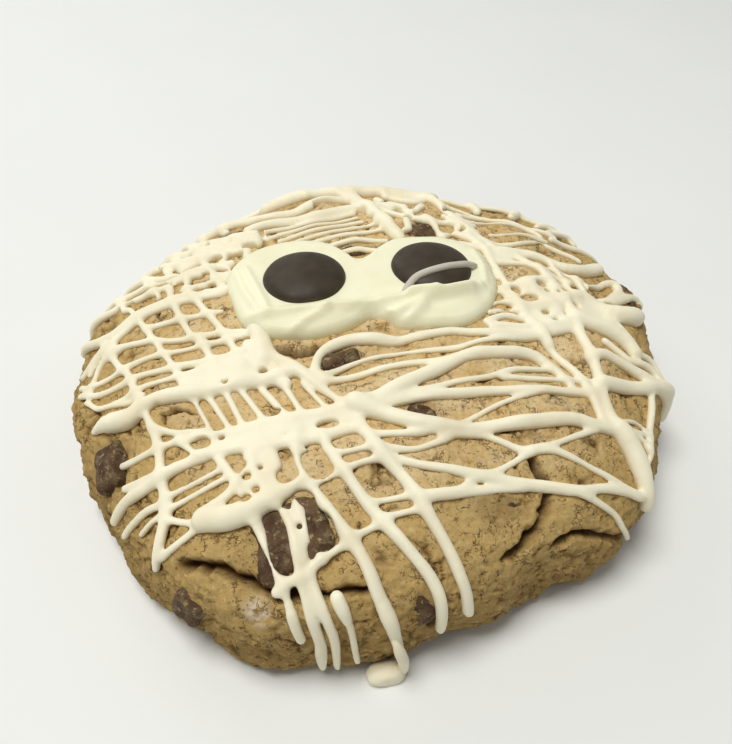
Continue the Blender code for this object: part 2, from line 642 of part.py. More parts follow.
def main():
    for obj in list(bpy.data.objects):
        bpy.data.objects.remove(obj)
    dough_material = new_material("dough", DOUGH_LOOK)
    icing_material = new_material("icing", ICING_LOOK)
    candy_material = new_material("candy", CANDY_LOOK)
    chocolate_material = new_material("chocolate", CHOCOLATE_LOOK)
    parts = new_collection("iced_cookie")
    drizzle = new_collection("drizzle")
    eye_pockets = new_collection("eye cutters")
    pockets = new_collection("dough cutters")

    for name, place in EYE_PLACES.items():
        make_eye(name, place, 0, candy_material, parts)
        make_eye(name + "_pocket", place, GAP, candy_material, eye_pockets)
    make_mask(icing_material, parts, eye_pockets)
    for number in range(len(CHUNKS)):
        make_chunk(number, 0, chocolate_material, parts)
        make_chunk(number, GAP, chocolate_material, pockets).name = f"chunk_pocket_{number + 1}"
    make_mask_body("mask_pocket", GAP, icing_material, pockets)

    cookie = make_dough(dough_material, parts)
    make_drizzle(icing_material, drizzle)
    add_boolean(cookie, "UNION", drizzle)
    apply_modifiers(cookie)
    remove_collection(drizzle)
    keep_largest_body(cookie)
    thin_out(cookie, ICED_KEEP)
    flatten_base(cookie)
    add_boolean(cookie, "DIFFERENCE", pockets)
    apply_modifiers(cookie)
    keep_largest_body(cookie)
    hide_cutters(pockets)
    hide_cutters(eye_pockets)
    centre_on_origin(parts)


main()
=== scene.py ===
"""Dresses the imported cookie: crackled dough, melted drizzle, a piped icing mask, candy eyes and chocolate.

Lengths are in millimetres until a mesh is made. A place on the cookie is a pair (u, v) on its crust:
millimetres measured along the surface from the crown, +v to the back, as in the CAD.
"""
import itertools
import math

import bmesh
import bpy
import numpy as np
from mathutils import Matrix, Vector, noise


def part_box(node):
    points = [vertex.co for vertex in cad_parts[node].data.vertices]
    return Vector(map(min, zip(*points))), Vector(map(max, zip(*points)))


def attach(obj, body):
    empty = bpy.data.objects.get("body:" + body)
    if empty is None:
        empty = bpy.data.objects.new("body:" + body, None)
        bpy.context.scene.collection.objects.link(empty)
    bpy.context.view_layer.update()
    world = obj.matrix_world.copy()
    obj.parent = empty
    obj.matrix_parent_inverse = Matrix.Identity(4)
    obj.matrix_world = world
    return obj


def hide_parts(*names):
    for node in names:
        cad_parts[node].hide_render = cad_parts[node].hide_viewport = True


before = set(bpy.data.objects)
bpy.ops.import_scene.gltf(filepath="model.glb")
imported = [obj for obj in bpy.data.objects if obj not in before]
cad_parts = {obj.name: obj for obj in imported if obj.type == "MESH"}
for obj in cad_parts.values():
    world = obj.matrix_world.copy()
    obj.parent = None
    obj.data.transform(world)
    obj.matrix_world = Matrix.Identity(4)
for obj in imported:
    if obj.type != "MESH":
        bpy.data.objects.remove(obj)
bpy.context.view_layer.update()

MM = 0.001

# The dough round, as in the CAD
RADIUS = 50.0
HEIGHT = 24.0
RIM_HEIGHT = 8.0
DOME_POWER = 2.5
BASE_RATIO = 0.93
LOBES = ((2, 0.7, 2.2), (3, 0.5, -0.1), (4, -0.4, 0.0), (5, -0.5, 0.9))
BULGES = ((-115.0, 20.0, 0.6), (180.0, 16.0, 1.2), (-58.0, 10.0, 1.0))
LUMPS = ((13.0, 1.3), (6.0, 0.7))
LUMP_SEED = (31.7, 8.2, 4.4)
MASK_REACH = 18.0  # from an eye's middle, where the lumps are back in full
MASK_FADE = 5.0
BASE_ANGLE = math.radians(148.0)  # the part of the dough's sphere that becomes the flat base
DOUGH_DETAIL = 8

# Main cracks: depth, half width, and the line that each follows
CRACKS = (
    (3.2, 0.9, ((14.1, -33.1), (15.6, -36.8), (15.2, -39.8), (13.5, -42.1), (10, -45.2), (7.4, -46.3))),
    (2.8, 1, ((-35.6, -39.4), (-30, -41.9), (-26.2, -44.5), (-23, -46.6), (-18, -47), (-12, -47.5))),
    (2.6, 1, ((16.8, -45.1), (18.8, -43.9), (24.4, -44.8), (30, -45.5), (35, -44))),
    (2.2, 1.1, ((-46.4, -16.5), (-44.6, -20.5), (-45.2, -24.5))),
    (1.8, 1.2, ((-18.3, -8), (-15.5, -9.4), (-13, -9))),
    (2.2, 0.8, ((-5.3, -49.8), (-4.2, -52), (-3.7, -54.8))),
    (2, 0.9, ((30, 35), (37, 27), (45, 22))),
    (2, 0.9, ((-30, 46), (-14, 50), (2, 48), (17, 51))),
    (0.8, 0.35, ((-36, -18.2), (-35.9, -16.5), (-33.7, -16.5), (-31.7, -17.6))),
    (1.4, 0.6, ((-14.7, -12.7), (-14, -13.8))),
)

CRACK_SHARE = 0.6  # how narrow the cracks are at the surface, next to the CAD's
CRACK_RAGGED = 0.4
CRACK_CLEAR = 2.5  # the fine network stays about this far from the main cracks

# Layers of noise on the dough: height, size and seed of each
RAGGED = ((0.3, 1.1, 10), (0.4, 2.0, 11), (0.6, 4.5, 12))
CRACK_BEND = (((0.4, 1.4, 27), (0.6, 4.5, 28)), ((0.4, 1.4, 29), (0.6, 4.5, 30)))
NETWORK_BEND = tuple(((0.9, 1.5, seed), (1.3, 3.5, seed + 40)) for seed in (15, 16, 17))
CRUMBS = ((0.12, 0.8, 21), (0.16, 1.6, 22), (0.22, 3.4, 23))
SIDE_FOLDS = ((0.8, 2.8, 14), (0.5, 1.3, 24))
SIDE_START, SIDE_WIDTH = 42.0, 14.0  # how far along the crust the rougher side begins, and its fade
NETWORK_SIZE, NETWORK_SEED = 5.5, 18
NETWORK_HALF_WIDTH = 0.22
NETWORK_DEPTH = 0.6
PIT_DEPTH = 0.45

TOAST_START, TOAST_END = 0.55, 1.2  # where browning starts and ends, in radii along the crust
FLOUR_PLACE = (-26.6, -47.6)
FLOUR_RADIUS = 1.7

# Drizzle strands: radius, then the points that each passes through on the crust, some with their own radius
LEFT_STRANDS = (
    (0.65, (
        (-47, 4.5), (-44.5, -1.5), (-41.7, -6.5), (-39.8, -12.7), (-37.7, -19), (-36.8, -29.3, 0.8),
        (-38.1, -35.4, 0.8), (-40.1, -38.6, 0.45),
    )),
    (0.55, ((-41.6, 9.5), (-40.1, 5.9), (-36.6, -2.4), (-34.2, -8.2), (-32.8, -12.7))),
    (0.6, (
        (-35.6, 14), (-34.8, 11.2), (-33.5, 4.8), (-31.6, -0.7), (-30.2, -2.9, 0.9), (-28.9, -6.6),
        (-27.3, -11.8),
    )),
    (0.6, ((-30.9, 7.6), (-28.4, 2.3), (-26.3, -2.7), (-24.5, -8.2), (-24, -11))),
    (0.9, (
        (-20.5, -4.5), (-19.8, -9), (-17, -12.2, 1.1), (-14.6, -15), (-12.4, -18.2, 0.6),
        (-11, -20.5, 0.6),
    )),
    (0.8, ((-23, -6.5), (-22, -10), (-19.5, -14), (-18, -15.5))),
    (0.6, ((-52, 0.1), (-46.2, 2.6), (-41.4, 4.8), (-37.6, 6.5), (-32.8, 6.8), (-26, 7.2))),
    (0.55, ((-46.4, 1.5), (-38.9, 0.2), (-35.3, -1.2), (-29.8, -2), (-23.5, -3.2))),
    (0.5, ((-38.7, 2.9), (-32, 3), (-26.5, 2.4))),
    (0.5, ((-43.8, 0.6), (-47.6, 0.2), (-49, -1.9), (-49.9, -4.4))),
    (0.5, ((-44.6, 2.4), (-48.2, 1.7), (-50.2, -0.6))),
    (0.55, ((-52, -2.4), (-49.2, -3.8), (-37, -4.2), (-23.5, -4.3), (-21.4, -3.4))),
    (1, ((-21.4, -3, 1.2), (-21.2, -6, 0.9), (-20.6, -10))),
    (0.6, ((-52, -4.3), (-47, -6.8), (-38.1, -7.7), (-29.8, -8.2), (-21.4, -7.7))),
    (0.5, ((-50.6, -6.6), (-47, -9.8), (-38.6, -10.3), (-28.4, -9.9))),
    (0.4, ((-44.5, -10.5), (-41.4, -11.8), (-39, -11.8))),
    (1.25, (
        (-48.5, -13.4, 0.6), (-46.6, -13.4, 1.1), (-44.5, -14, 1.6), (-41.4, -14.6, 1.5), (-38.7, -13.8),
        (-29.8, -14.2), (-21.4, -13.8), (-17.5, -13.4, 0.9),
    )),
    (0.5, ((-37.8, -18.2), (-34.2, -20.4), (-30.6, -21.1))),
    (0.55, ((-44.5, -21.5), (-40.9, -22.1), (-36.4, -21.8), (-29.8, -22.1))),
    (0.5, ((-34.2, -21.8), (-32, -24.3), (-30.9, -25.1))),
    (0.6, ((-43.7, -25.5), (-37.6, -26.2))),
    (0.8, ((-47.6, -29.1), (-43.7, -27.6), (-38.7, -27.1), (-32.6, -25.7), (-30.9, -25.4))),
    (0.55, ((-46, -32.2), (-44.2, -31.4), (-40.3, -30.4), (-37, -30.4))),
    (0.45, ((-42.1, -33.2), (-39.2, -32.2), (-37.6, -32.1))),
    (0.4, ((-36.2, -29.8), (-28.9, -28.2))),
    (0.45, ((-36.2, -31.5), (-28.1, -29.7))),
    (0.5, ((-36.7, -32.9), (-33.7, -34.4), (-32, -34.7))),
    (0.5, ((-38.1, -37.6), (-34.8, -36.4), (-31.4, -35.1))),
    (1.55, ((-31.2, -34.8), (-28.1, -35.4), (-24.8, -34.8), (-21.5, -33.6, 1.1), (-18.5, -32.4, 0.8))),
    (0.7, ((-31.7, -34.3), (-27.8, -32.1), (-26.2, -30.4))),
    (0.7, ((-28.7, -26.5), (-27, -29.8), (-26.3, -31.8), (-25.2, -34))),
    (0.38, ((-31.6, -15.4), (-29.5, -21.2))),
    (0.48, ((-29.4, -15.7), (-27, -21.2))),
    (0.5, ((-26.9, -15.7), (-25.1, -21.2))),
    (0.5, ((-24.6, -15.7), (-22.1, -21.2))),
    (0.6, ((-21.6, -15.8), (-19.1, -21.1))),
    (0.5, ((-18.6, -15.5), (-17.8, -17.8), (-16.6, -21.2))),
    (0.42, ((-15.7, -15.8), (-14.5, -18.1), (-13.1, -21.1))),
    (0.85, ((-31.2, -22.4), (-26, -22.4), (-20, -22), (-14, -22), (-9, -21.3))),
    (0.8, ((-31.5, -25), (-26, -25.2), (-20, -26), (-15, -26), (-10, -25.6))),
    (0.7, ((-24.2, -27), (-23.6, -31), (-22, -35))),
)
FRONT_STRANDS = (
    (0.75, (
        (-25.1, -35.8), (-23.7, -40.4), (-22.9, -43.9), (-22.5, -46.3, 0.45), (-22.3, -48.6, 0.8),
        (-22.3, -52.6, 0.6),
    )),
    (0.8, (
        (-21, -36.5), (-20.4, -39.8), (-20.3, -45.7, 0.55), (-20, -49.2), (-20, -53.6),
        (-20.9, -56.6, 0.95), (-22.9, -61.9, 0.6),
    )),
    (0.7, ((-19, -35.5), (-18.5, -39.5), (-17.2, -43))),
    (0.7, ((-19, -44.8), (-18.1, -50.7), (-18.1, -54.8), (-20.3, -61.9, 0.5))),
    (0.55, ((-16.2, -47.7, 1), (-15.8, -49.1, 0.9), (-15.5, -50.7), (-15.4, -53.1), (-16.2, -59.4, 0.5))),
    (0.95, (
        (-17.6, -24.5, 0.7), (-18.1, -27.2, 0.6), (-18.2, -30.2, 0.6), (-17.2, -32.8, 0.7),
        (-15.1, -37.5), (-12.1, -43.4), (-10.9, -48.4), (-10.3, -50.7, 1.15), (-9.7, -53.6),
        (-9.3, -59.5, 0.8),
    )),
    (0.85, (
        (-14.5, -24.5, 0.75), (-13.6, -29.3, 0.75), (-11.4, -34.2), (-9.2, -38.6), (-5.9, -43.6),
        (-3.4, -47.8), (-2.6, -52.5), (-2.6, -55),
    )),
    (0.85, (
        (-9.2, -23.5), (-7.5, -29.3), (-4.8, -34), (-2.7, -39.1), (-0.5, -44.3), (0.9, -48.9),
        (1.7, -52.6),
    )),
    (0.65, (
        (-23.7, -45.7), (-21.8, -44.8), (-19.7, -44.5), (-17.6, -43.1), (-15.9, -42.3), (-13.4, -41.4),
    )),
    (0.45, ((-18.5, -27.4), (-13.4, -28.9), (-11.3, -29.3), (-7.2, -29))),
    (0.45, ((-18, -33.2), (-14.6, -32.4), (-10.7, -31.4), (-6.9, -30.8))),
    (0.45, ((-9.5, -36.6), (-3.6, -36.6))),
    (0.45, ((-8.4, -39), (-4.2, -38.6), (-2.5, -39))),
    (0.5, ((-13.6, -40.5), (-11.9, -40.5), (-8.1, -39.3))),
)
RIGHT_STRANDS = (
    (0.75, (
        (-12.3, -15.7), (-13.4, -14.3), (-13, -12), (-11.4, -10, 0.9), (-8, -8.9, 1), (-4, -9.2, 1),
        (0, -9.6), (2.9, -9.2), (8.8, -9.1), (11.2, -9.6), (18.2, -10.3), (25, -10), (31, -8.5),
    )),
    (0.55, (
        (-12.5, -14.9), (-8, -13.3, 0.45), (0, -12.5, 0.45), (5.9, -12.8), (8.8, -12.8), (11.8, -12),
        (18, -11.4), (24, -10.6),
    )),
    (0.6, ((-12.3, -16), (-8, -15.9), (-3.5, -15.5), (2, -15.1), (7, -15.1))),
    (1.1, (
        (-9, -21.5), (-6, -20.9), (-2.5, -19.6), (2.9, -17.5), (5.9, -16.1), (8.8, -15.1), (14.7, -14.7),
        (20, -14.7), (21.8, -15.8, 0.9), (23.8, -18.8, 0.7), (24.8, -21, 0.6),
    )),
    (0.5, ((-6, -21.6), (2.9, -20.2), (5.9, -19.6), (11.8, -19.1), (16.5, -18), (22.4, -17.7))),
    (0.45, ((13.8, -19.4), (19.1, -19.8), (25.3, -19.9), (29, -20.6))),
    (0.75, ((-7.5, -22.2), (0, -21.7), (6.5, -21.6), (12.9, -22), (19.4, -22.1), (28, -22.6))),
    (0.42, ((5.3, -26.4), (7.6, -25.5), (12.4, -24.1), (19.4, -22.3))),
    (1, (
        (-9, -21.6, 1.5), (-6, -23.4, 1.3), (-1.5, -26, 1.2), (4.4, -27.3, 1.1), (10.3, -27.6),
        (22, -27.6), (25, -28.2), (30, -29),
    )),
    (0.6, ((-8.6, -26.8), (-6, -27.3), (-1.6, -27.9), (2, -27.4))),
    (0.5, ((-6.5, -29.4), (-4.2, -30), (-1.6, -30.2), (2.2, -29.3), (3.4, -28.4))),
    (0.5, (
        (1.8, -28.4), (7.4, -28.6), (10, -29.8), (13.2, -31.7, 0.65), (17.6, -32.1, 0.65), (21.2, -33.9),
        (24.1, -35.5), (31.2, -38.9),
    )),
    (0.5, ((14.5, -31.8), (18.2, -31.1), (25.5, -29.2))),
    (0.7, (
        (-5.4, -31.2, 0.5), (-0.7, -33.1), (7.1, -35.2, 0.85), (15.3, -37.3, 0.85), (20, -38.1),
        (25, -38), (31.8, -38.9, 0.6),
    )),
    (0.5, ((-2.8, -36.9), (1.8, -36.7), (5.3, -35.1), (8.8, -34.3), (14.1, -32.3))),
    (0.65, ((-2.5, -37.2), (4.4, -37), (11.8, -36.9))),
    (0.5, ((20.3, -38.7), (25.9, -41.4), (27.9, -43.3), (30.9, -45.1))),
    (0.65, ((23.5, -9.9), (24.6, -13.8), (25.9, -17), (27.1, -20.2), (27.6, -25), (27.4, -28))),
    (1, (
        (22.6, 8.3, 0.7), (25.1, 8, 0.7), (27.8, 7.5, 0.8), (29.3, 5.4, 0.9), (29.9, 2.1), (30.3, -2),
        (30.7, -6.2), (30.4, -12, 0.9), (30, -19.6, 0.85), (29.4, -27, 1), (30.3, -29.5, 1.5),
        (31.8, -32.6, 1.5), (33.1, -37.3, 1.4), (34.3, -39.8, 1.2),
    )),
    (0.75, (
        (17, 25), (20, 19), (24, 13.5), (28, 9.4), (29.2, 6.9), (30.9, 4.5), (33.4, 2.5), (34.6, -0.8),
    )),
    (0.7, ((37.5, -6.2), (39.4, -7.7), (40.3, -10.2), (40.3, -12.8))),
    (0.7, ((35, -11.4), (37.3, -13.6), (38.7, -14.9), (41.9, -15.2), (44, -16.3), (44.5, -18.4))),
    (0.6, ((40, -13.3), (43.4, -13.4), (45.1, -14.7), (46, -17))),
    (1, ((29.9, -15.8, 0.8), (32.8, -15.2), (35.8, -16.4), (40.2, -17.9), (46, -19.3), (52, -20.5))),
    (1.1, ((29.9, -20.8), (35.8, -20.8), (38.7, -20.5), (41.6, -19.6), (47.5, -18.2))),
    (0.6, ((40.5, -21), (38.7, -26.1), (36.9, -29.6), (35.4, -31.5))),
    (0.4, ((30.5, -27.3), (34.3, -27.1), (36.6, -27.9))),
    (0.5, ((31.2, -28.8), (36.9, -29))),
    (0.45, ((33.2, -29.4), (35.2, -30.8), (35.6, -32.3), (34.2, -34.8))),
    (0.55, ((21, 15.6), (27.5, 15), (34, 16.4), (38, 14.8), (41.5, 12.8))),
    (1.1, (
        (17.5, 14.6, 0.8), (20.5, 13.2, 0.9), (25, 12.2), (28.9, 11.6), (32.4, 10.4), (35.8, 8.6, 1.2),
        (39.2, 8.7, 1.35), (42.6, 10, 1.4), (44.6, 11, 1.4),
    )),
    (0.75, (
        (36.4, 5), (36, 2.4), (36.4, -0.8), (38.4, -1.5), (41.9, 0.4, 0.9), (45.6, 3.6, 0.9),
        (46, 6.2, 0.9), (43.5, 5.8), (41.4, 4.1), (37.8, 2.2),
    )),
    (0.5, ((31.5, 7.8), (34.4, 6.4), (36.6, 4.6), (37.4, 3.2))),
    (0.9, ((38.8, -1.8), (40.9, -1.4), (44.7, 1.1), (49.6, 4), (51.3, 3.4))),
    (1.3, (
        (31.3, -1.9, 1), (34.7, -1.4), (37.2, -3.2), (39.6, -4.8, 1.7), (42.6, -4.7, 1.9),
        (45.4, -3.4, 1.2),
    )),
    (1.4, ((31.1, -7, 1.1), (34.2, -8.2), (37.1, -9.1), (39, -10.4, 1.2), (40.4, -12.8, 0.8))),
    (0.8, ((19.5, -0.4, 0.5), (22, 1.2), (25, 1), (28, 2.4), (30, 3))),
    (0.8, ((19.4, -2.6, 0.4), (21.5, -3.8), (24.8, -4), (28, -3.6), (30.5, -3))),
    (0.7, ((15.1, -7.4), (18.5, -6.2), (21, -6.6), (22.8, -7.6))),
    (0.9, ((15.5, -8.4, 0.6), (20, -8.6), (25, -8.6), (30, -7.6))),
    (0.75, (
        (16.5, 20), (19.5, 16.4), (21.2, 13.6), (21.2, 9.2), (21.4, 4), (21.6, -1), (22.2, -5.2),
        (23.2, -8.6), (24.2, -12.5),
    )),
    (0.6, ((25.2, 1.4), (26.4, -2), (28, -5.5), (29, -8.5))),
    (0.6, ((33, 9.6), (33.4, 4), (32.8, -1))),
    (0.5, ((18, 32), (22, 30.6), (27, 28))),
    (0.5, ((18.8, 7.6), (20.2, 4.4), (20.6, 1), (20.2, -2.6))),
    (0.5, ((18.2, 3.4), (20, 0.6), (22, -1.6))),
    (0.5, ((17.4, -3.2), (19.6, -2.4), (21.8, -3))),
    (0.5, ((16.4, -5), (19, -4.6), (22, -5))),
    (0.6, ((20.5, 27), (26.5, 27.5), (34, 24), (40, 21.4))),
    (0.6, ((21.5, 23), (28.5, 23.8), (33.5, 22.6), (35.2, 19))),
    (0.5, ((20.5, 18.4), (26, 18), (31, 18.4), (36, 17.6))),
    (0.6, ((14, 39), (25, 37), (35, 33), (44, 27))),
    (0.6, ((42.5, 36), (43.6, 30), (47, 24))),
)
BACK_STRANDS = (
    (0.8, ((-52, 24), (-47, 20.5), (-44.2, 14), (-42.6, 9.5))),
    (0.85, ((-48.5, 32), (-41.5, 24), (-38.6, 15), (-36.8, 9.8))),
    (0.8, ((-45, 39), (-38, 27), (-35.4, 19), (-32.6, 11))),
    (0.85, ((-41, 43), (-34.4, 24), (-32, 16), (-31.6, 11), (-31, 7.8))),
    (0.8, ((-37, 46), (-31, 27), (-29, 19), (-27, 12), (-25.4, 8))),
    (0.8, ((-34, 51), (-27.4, 24), (-25.4, 17), (-24.4, 11))),
    (0.9, ((-30, 54), (-25.6, 34), (-22.6, 24), (-21, 17))),
    (0.8, ((-53, 8), (-46, 4.8), (-38, 7.4), (-31, 8.2), (-25.5, 8))),
    (0.8, ((-53, 14), (-44, 11), (-36, 12), (-31, 9.8), (-24.8, 11.6))),
    (0.8, ((-52, 19), (-42, 15.6), (-34, 14.1), (-24.8, 12.4))),
    (0.9, ((-49, 24), (-40, 19.4), (-31, 15), (-24, 16))),
    (1, ((-48, 30), (-38, 24), (-30, 19.6), (-21, 18.6))),
    (1.1, ((-46, 36), (-36, 28), (-28, 22.4), (-19, 21))),
    (1, ((-42, 41), (-33, 32), (-26, 25.6), (-18, 23))),
    (1.1, ((-38, 46), (-29, 36), (-21, 33.2), (-14, 33), (-7, 34.4), (0, 36))),
    (0.55, ((-19, 23), (-12, 26.4), (-4, 28.6), (3, 30.6))),
    (0.5, ((-17, 21.8), (-10, 25), (-2, 27), (4, 28.4))),
    (0.5, ((-15, 20.8), (-8, 23.4), (0, 25.3), (5, 25.8))),
    (0.45, ((-12, 20), (-6, 21.8), (0, 23.4), (5, 23.8))),
    (0.55, ((-9, 18.8), (-3, 20.4), (3, 21.2), (6, 22))),
    (1.2, ((-20, 26), (-14, 28.2), (-6, 29.6), (2, 31.4), (10, 29.4))),
    (1.4, ((2, 45), (1.6, 36.8), (3.4, 30), (4.6, 24.6), (6, 19.6), (6.6, 17.8, 0.8))),
    (0.8, ((2, 32), (8, 27), (13, 23.6), (19, 22.2))),
    (0.8, ((4, 24), (8.6, 20.4), (9.8, 25), (14, 30))),
    (0.8, ((14.4, 17.6), (14, 23), (9, 30), (6, 35))),
    (0.7, ((15, 17.6), (18, 20), (22, 21.2))),
    (0.7, ((20.6, 27), (21, 21), (21.6, 15.4))),
    (0.6, ((-7, 16.9), (-1.5, 18), (4, 17.2))),
    (0.6, ((-5.6, 14.4), (-2, 15), (1.6, 14.2))),
    (1.5, ((-16, 39), (-4, 40.5), (8, 39), (18, 36))),
    (1, ((16, 38), (18.4, 31), (19.2, 24), (19.8, 17))),
)
# Even strands on the hidden far side: radius, count, ends of the first strand, ends of the last one
FAMILIES = (
    (0.9, 6, ((-8, 38), (-24, 62)), ((34, 30), (47, 46))),
    (0.8, 5, ((-34, 42), (20, 45)), ((-26, 58), (36, 52))),
    (0.8, 3, ((-46, 30), (-50, 42)), ((-36, 40), (-40, 54))),
    (0.7, 3, ((38, 20), (57, 20)), ((40, 28), (54, 34))),
)
FAMILY_SEED = 7
FAMILY_WANDER = 1.6
# Pools where strands ran together: place, half length, half width, turn in degrees
POOLS = (
    ((-24.5, -23.8), 7, 2.4, 3),
    ((-15, -23.6), 5.5, 2.2, 0),
    ((-23.2, -30), 2.9, 5, 0),
    ((-9.2, -21.4), 2, 1.9, 0),
    ((-26.5, -11.6), 6.6, 2.8, -3),
    ((-20.6, -9), 1.6, 4.2, 10),
    ((-19.4, -39), 1.1, 4.5, 0),
    ((25.6, -2.4), 4.4, 5.8, 0),
    ((24.5, 10.2), 3.6, 2.4, 0),
    ((32, 0.6), 2.6, 4.4, 0),
    ((35.2, -5.4), 4.4, 3.2, -8),
    ((28.8, -24.8), 1, 4.2, 0),
    ((3, 31.5), 3.2, 3.4, 10),
    ((-29, 22.5), 6, 3.6, 45),
    ((-22, 21.3), 4, 1.6, 20),
    ((12, 35), 4, 2.4, -30),
)
POOL_HEIGHT = 0.85
POOL_REACH = 1.5  # past a pool's or a hole's edge, where it no longer counts
# Holes that stayed open where the icing ran together: place, half width and half height
HOLES = (
    (-26.7, -13.8, 0.45, 0.4), (-21.1, -12.4, 0.6, 0.6), (-36.8, -15.1, 0.4, 0.4),
    (-30.9, -23.2, 1.1, 0.9), (-28.1, -22.9, 0.4, 0.3), (-25.9, -28.2, 0.7, 0.7),
    (-25.2, -30.2, 0.5, 0.5), (-23.3, -29.3, 0.3, 0.3), (-24.2, -32.4, 0.4, 0.4),
    (-25.5, -33.5, 0.55, 0.55), (-20, -31, 1.35, 1.2), (-16, -29.4, 1.5, 1.6), (-15.1, -31.7, 0.5, 0.5),
    (-18, -34.9, 1, 0.8), (-13.4, -24.3, 1.5, 0.65), (-22.4, -40, 1.2, 3.8), (-16.6, -39.4, 1.6, 2.5),
    (-19.4, -38.4, 0.3, 0.3), (-18.3, -41.6, 0.35, 0.6), (-19.9, -20.3, 0.35, 0.35), (23.8, 6.2, 1, 0.7),
    (26.4, 4.8, 2, 1.5), (27.6, 1.2, 0.9, 0.6), (22.6, -0.2, 0.7, 0.9), (24.2, -2.4, 1.5, 0.9),
    (28.2, -0.4, 0.4, 0.4), (30.2, -0.9, 0.35, 0.4), (31.8, -0.3, 0.5, 0.9), (31.8, 2.3, 0.4, 0.5),
    (34.2, 0.8, 0.9, 0.9), (26.3, 9, 0.6, 0.5), (29.4, 9.2, 0.4, 0.5), (31.8, 8.4, 0.6, 0.6),
    (32.4, 4.9, 0.5, 0.6), (36.6, 11.9, 0.8, 0.6), (39.6, 1.9, 1.8, 0.8), (39.9, -2.9, 1.7, 0.7),
    (20.4, 2.6, 0.4, 0.9), (19.2, -1.4, 0.7, 0.8), (19.4, -4, 1, 0.6), (25.9, -5.8, 0.6, 0.4),
    (27.1, -7.5, 0.4, 0.3), (31.9, -4.2, 0.6, 0.4), (20.2, -7.6, 1.6, 0.4), (26.5, 20.6, 3.6, 1.2),
    (29, 17, 2.4, 0.6), (-31.9, 22.3, 0.9, 0.8), (-34.3, 15.5, 0.6, 0.35), (-31.5, 16.3, 1.4, 1),
    (-28.3, 13, 0.6, 0.6), (-25.2, 13.7, 0.6, 0.6), (-26.2, 18.3, 0.8, 0.5), (-23, 18.3, 1.3, 0.8),
    (-20.4, 20, 1.2, 0.6), (-23.4, 27.5, 2, 1.5), (-28.2, 25.5, 0.5, 1.5), (-36.9, 23.3, 0.5, 1.2),
    (-36, 13.3, 0.8, 0.9), (-33, 11.3, 0.8, 1.2), (-30.5, 10.8, 0.5, 0.5), (-27.5, 9.8, 0.5, 0.6),
    (-29.8, 8.6, 0.7, 0.4), (-38.2, 9.8, 1.3, 0.8), (-39, 13, 1.4, 0.9), (-41.5, 10.5, 0.5, 0.7),
    (-43.6, 9.5, 0.4, 1.2), (-17.8, 23.3, 0.35, 0.9), (-18, 30.8, 1.1, 1), (-10.5, 30.5, 2.1, 0.9),
    (-4, 34, 2.8, 1), (1.7, 29, 0.9, 1.5), (2.5, 26, 0.9, 0.8), (2.3, 22, 1, 0.4), (7.3, 21.7, 0.8, 1.2),
    (9, 19.3, 0.6, 0.8), (12.4, 19.4, 1.3, 2.4), (12.4, 26.2, 0.8, 1), (10, 24.9, 0.7, 0.5),
    (8.9, 28.5, 0.6, 0.7), (7.7, 33, 1.5, 0.6), (16.1, 24, 0.9, 1), (16.3, 20, 1.3, 1.3),
    (19.3, 19.5, 0.4, 0.6), (19.3, 29, 1, 1.2), (23, 17.6, 0.8, 1.2), (27, 22.5, 2.4, 0.8),
    (26, 26, 2, 0.9), (34.2, 16, 0.9, 0.4),
)
HOLE_ROUNDING = 0.4
STRAND_RISE = 0.3  # how high a strand's middle lies, in radii
STRAND_STACK = 0.3  # how much of what lies under it lifts a strand that crosses
STRAND_UNEVEN = 0.1  # the share by which a strand's radius varies
STRAND_WANDER = 0.12
FILLET = 0.28  # how softly strands run together
FIELD_REACH = 2.0  # past a strand's side, where its field has faded out
# The drizzle's grid: steps along the crust and in height, reach along the crust, lowest and highest level
GRID_STEP = 0.33
GRID_RISE = 0.28
GRID_REACH = 70.0
GRID_LOW, GRID_HIGH = -0.9, 4.2
DRIZZLE_FOOT = 0.3  # the drizzle stays this far over the table
THIN_RISE, THIN_FADE = 0.7, 0.9  # icing lower than this over the crust lets the dough through

# The drip that fell over the edge, and the drop it left on the table
FALL_RADIUS = 0.75
FALL_TAPER = 3.0
FALL_STEP = 0.4
FALL = ((-9.0, -50.1, 10.2), (-8.6, -50.9, 9.0), (-7.9, -51.2, 6.5), (-7.4, -50.9, 4.0), (-7.2, -50.5, 1.2))
DROP_PLACE = (-9.5, -50.6, 0.8)
DROP_SIZE = (2.7, 1.5, 1.5)
DROP_POWER = 2.7  # 2 is an ellipsoid, more is boxier

# Icing mask
MASK_MIDDLE = (-2.5, 3.5)
MASK_OUTLINE = (
    (19.9, 6), (19.8, 10), (18.3, 13.2), (14.5, 15.3), (10, 16.3), (6, 16.3), (2.5, 14.4), (-1, 11.4),
    (-3.3, 11.4), (-5, 14), (-7.5, 17), (-11, 18.4), (-16, 18.6), (-20.5, 17), (-23.8, 13.6),
    (-25.2, 9.5), (-24.6, 4), (-23.6, -1.2), (-21, -4.8), (-16, -6.8), (-12, -7.2), (-7.5, -6.3),
    (-3.5, -4.4), (-1.2, -5), (1.2, -7.2), (7, -7.9), (11.5, -7.8), (14.8, -6), (17.8, -3), (19.5, 1.2),
)
MASK_HEIGHT = 2.4
MASK_BORDER_HEIGHT = 1.7
MASK_SINK = 1.3  # how deep the mask's underside lies in the dough
MASK_EDGE = 1.5  # how far in the rounded border reaches
MASK_SLOPE = 4.0  # how far in the full height is reached
MASK_UNEVEN = 0.12
MASK_STEP = 0.22
# Scallops along the right border: their size, how deep they are, and where they begin and end
SCALLOP_STEP = 1.35
SCALLOP_DEPTH = 0.45
SCALLOP_LOW, SCALLOP_HIGH = -2.0, 11.0
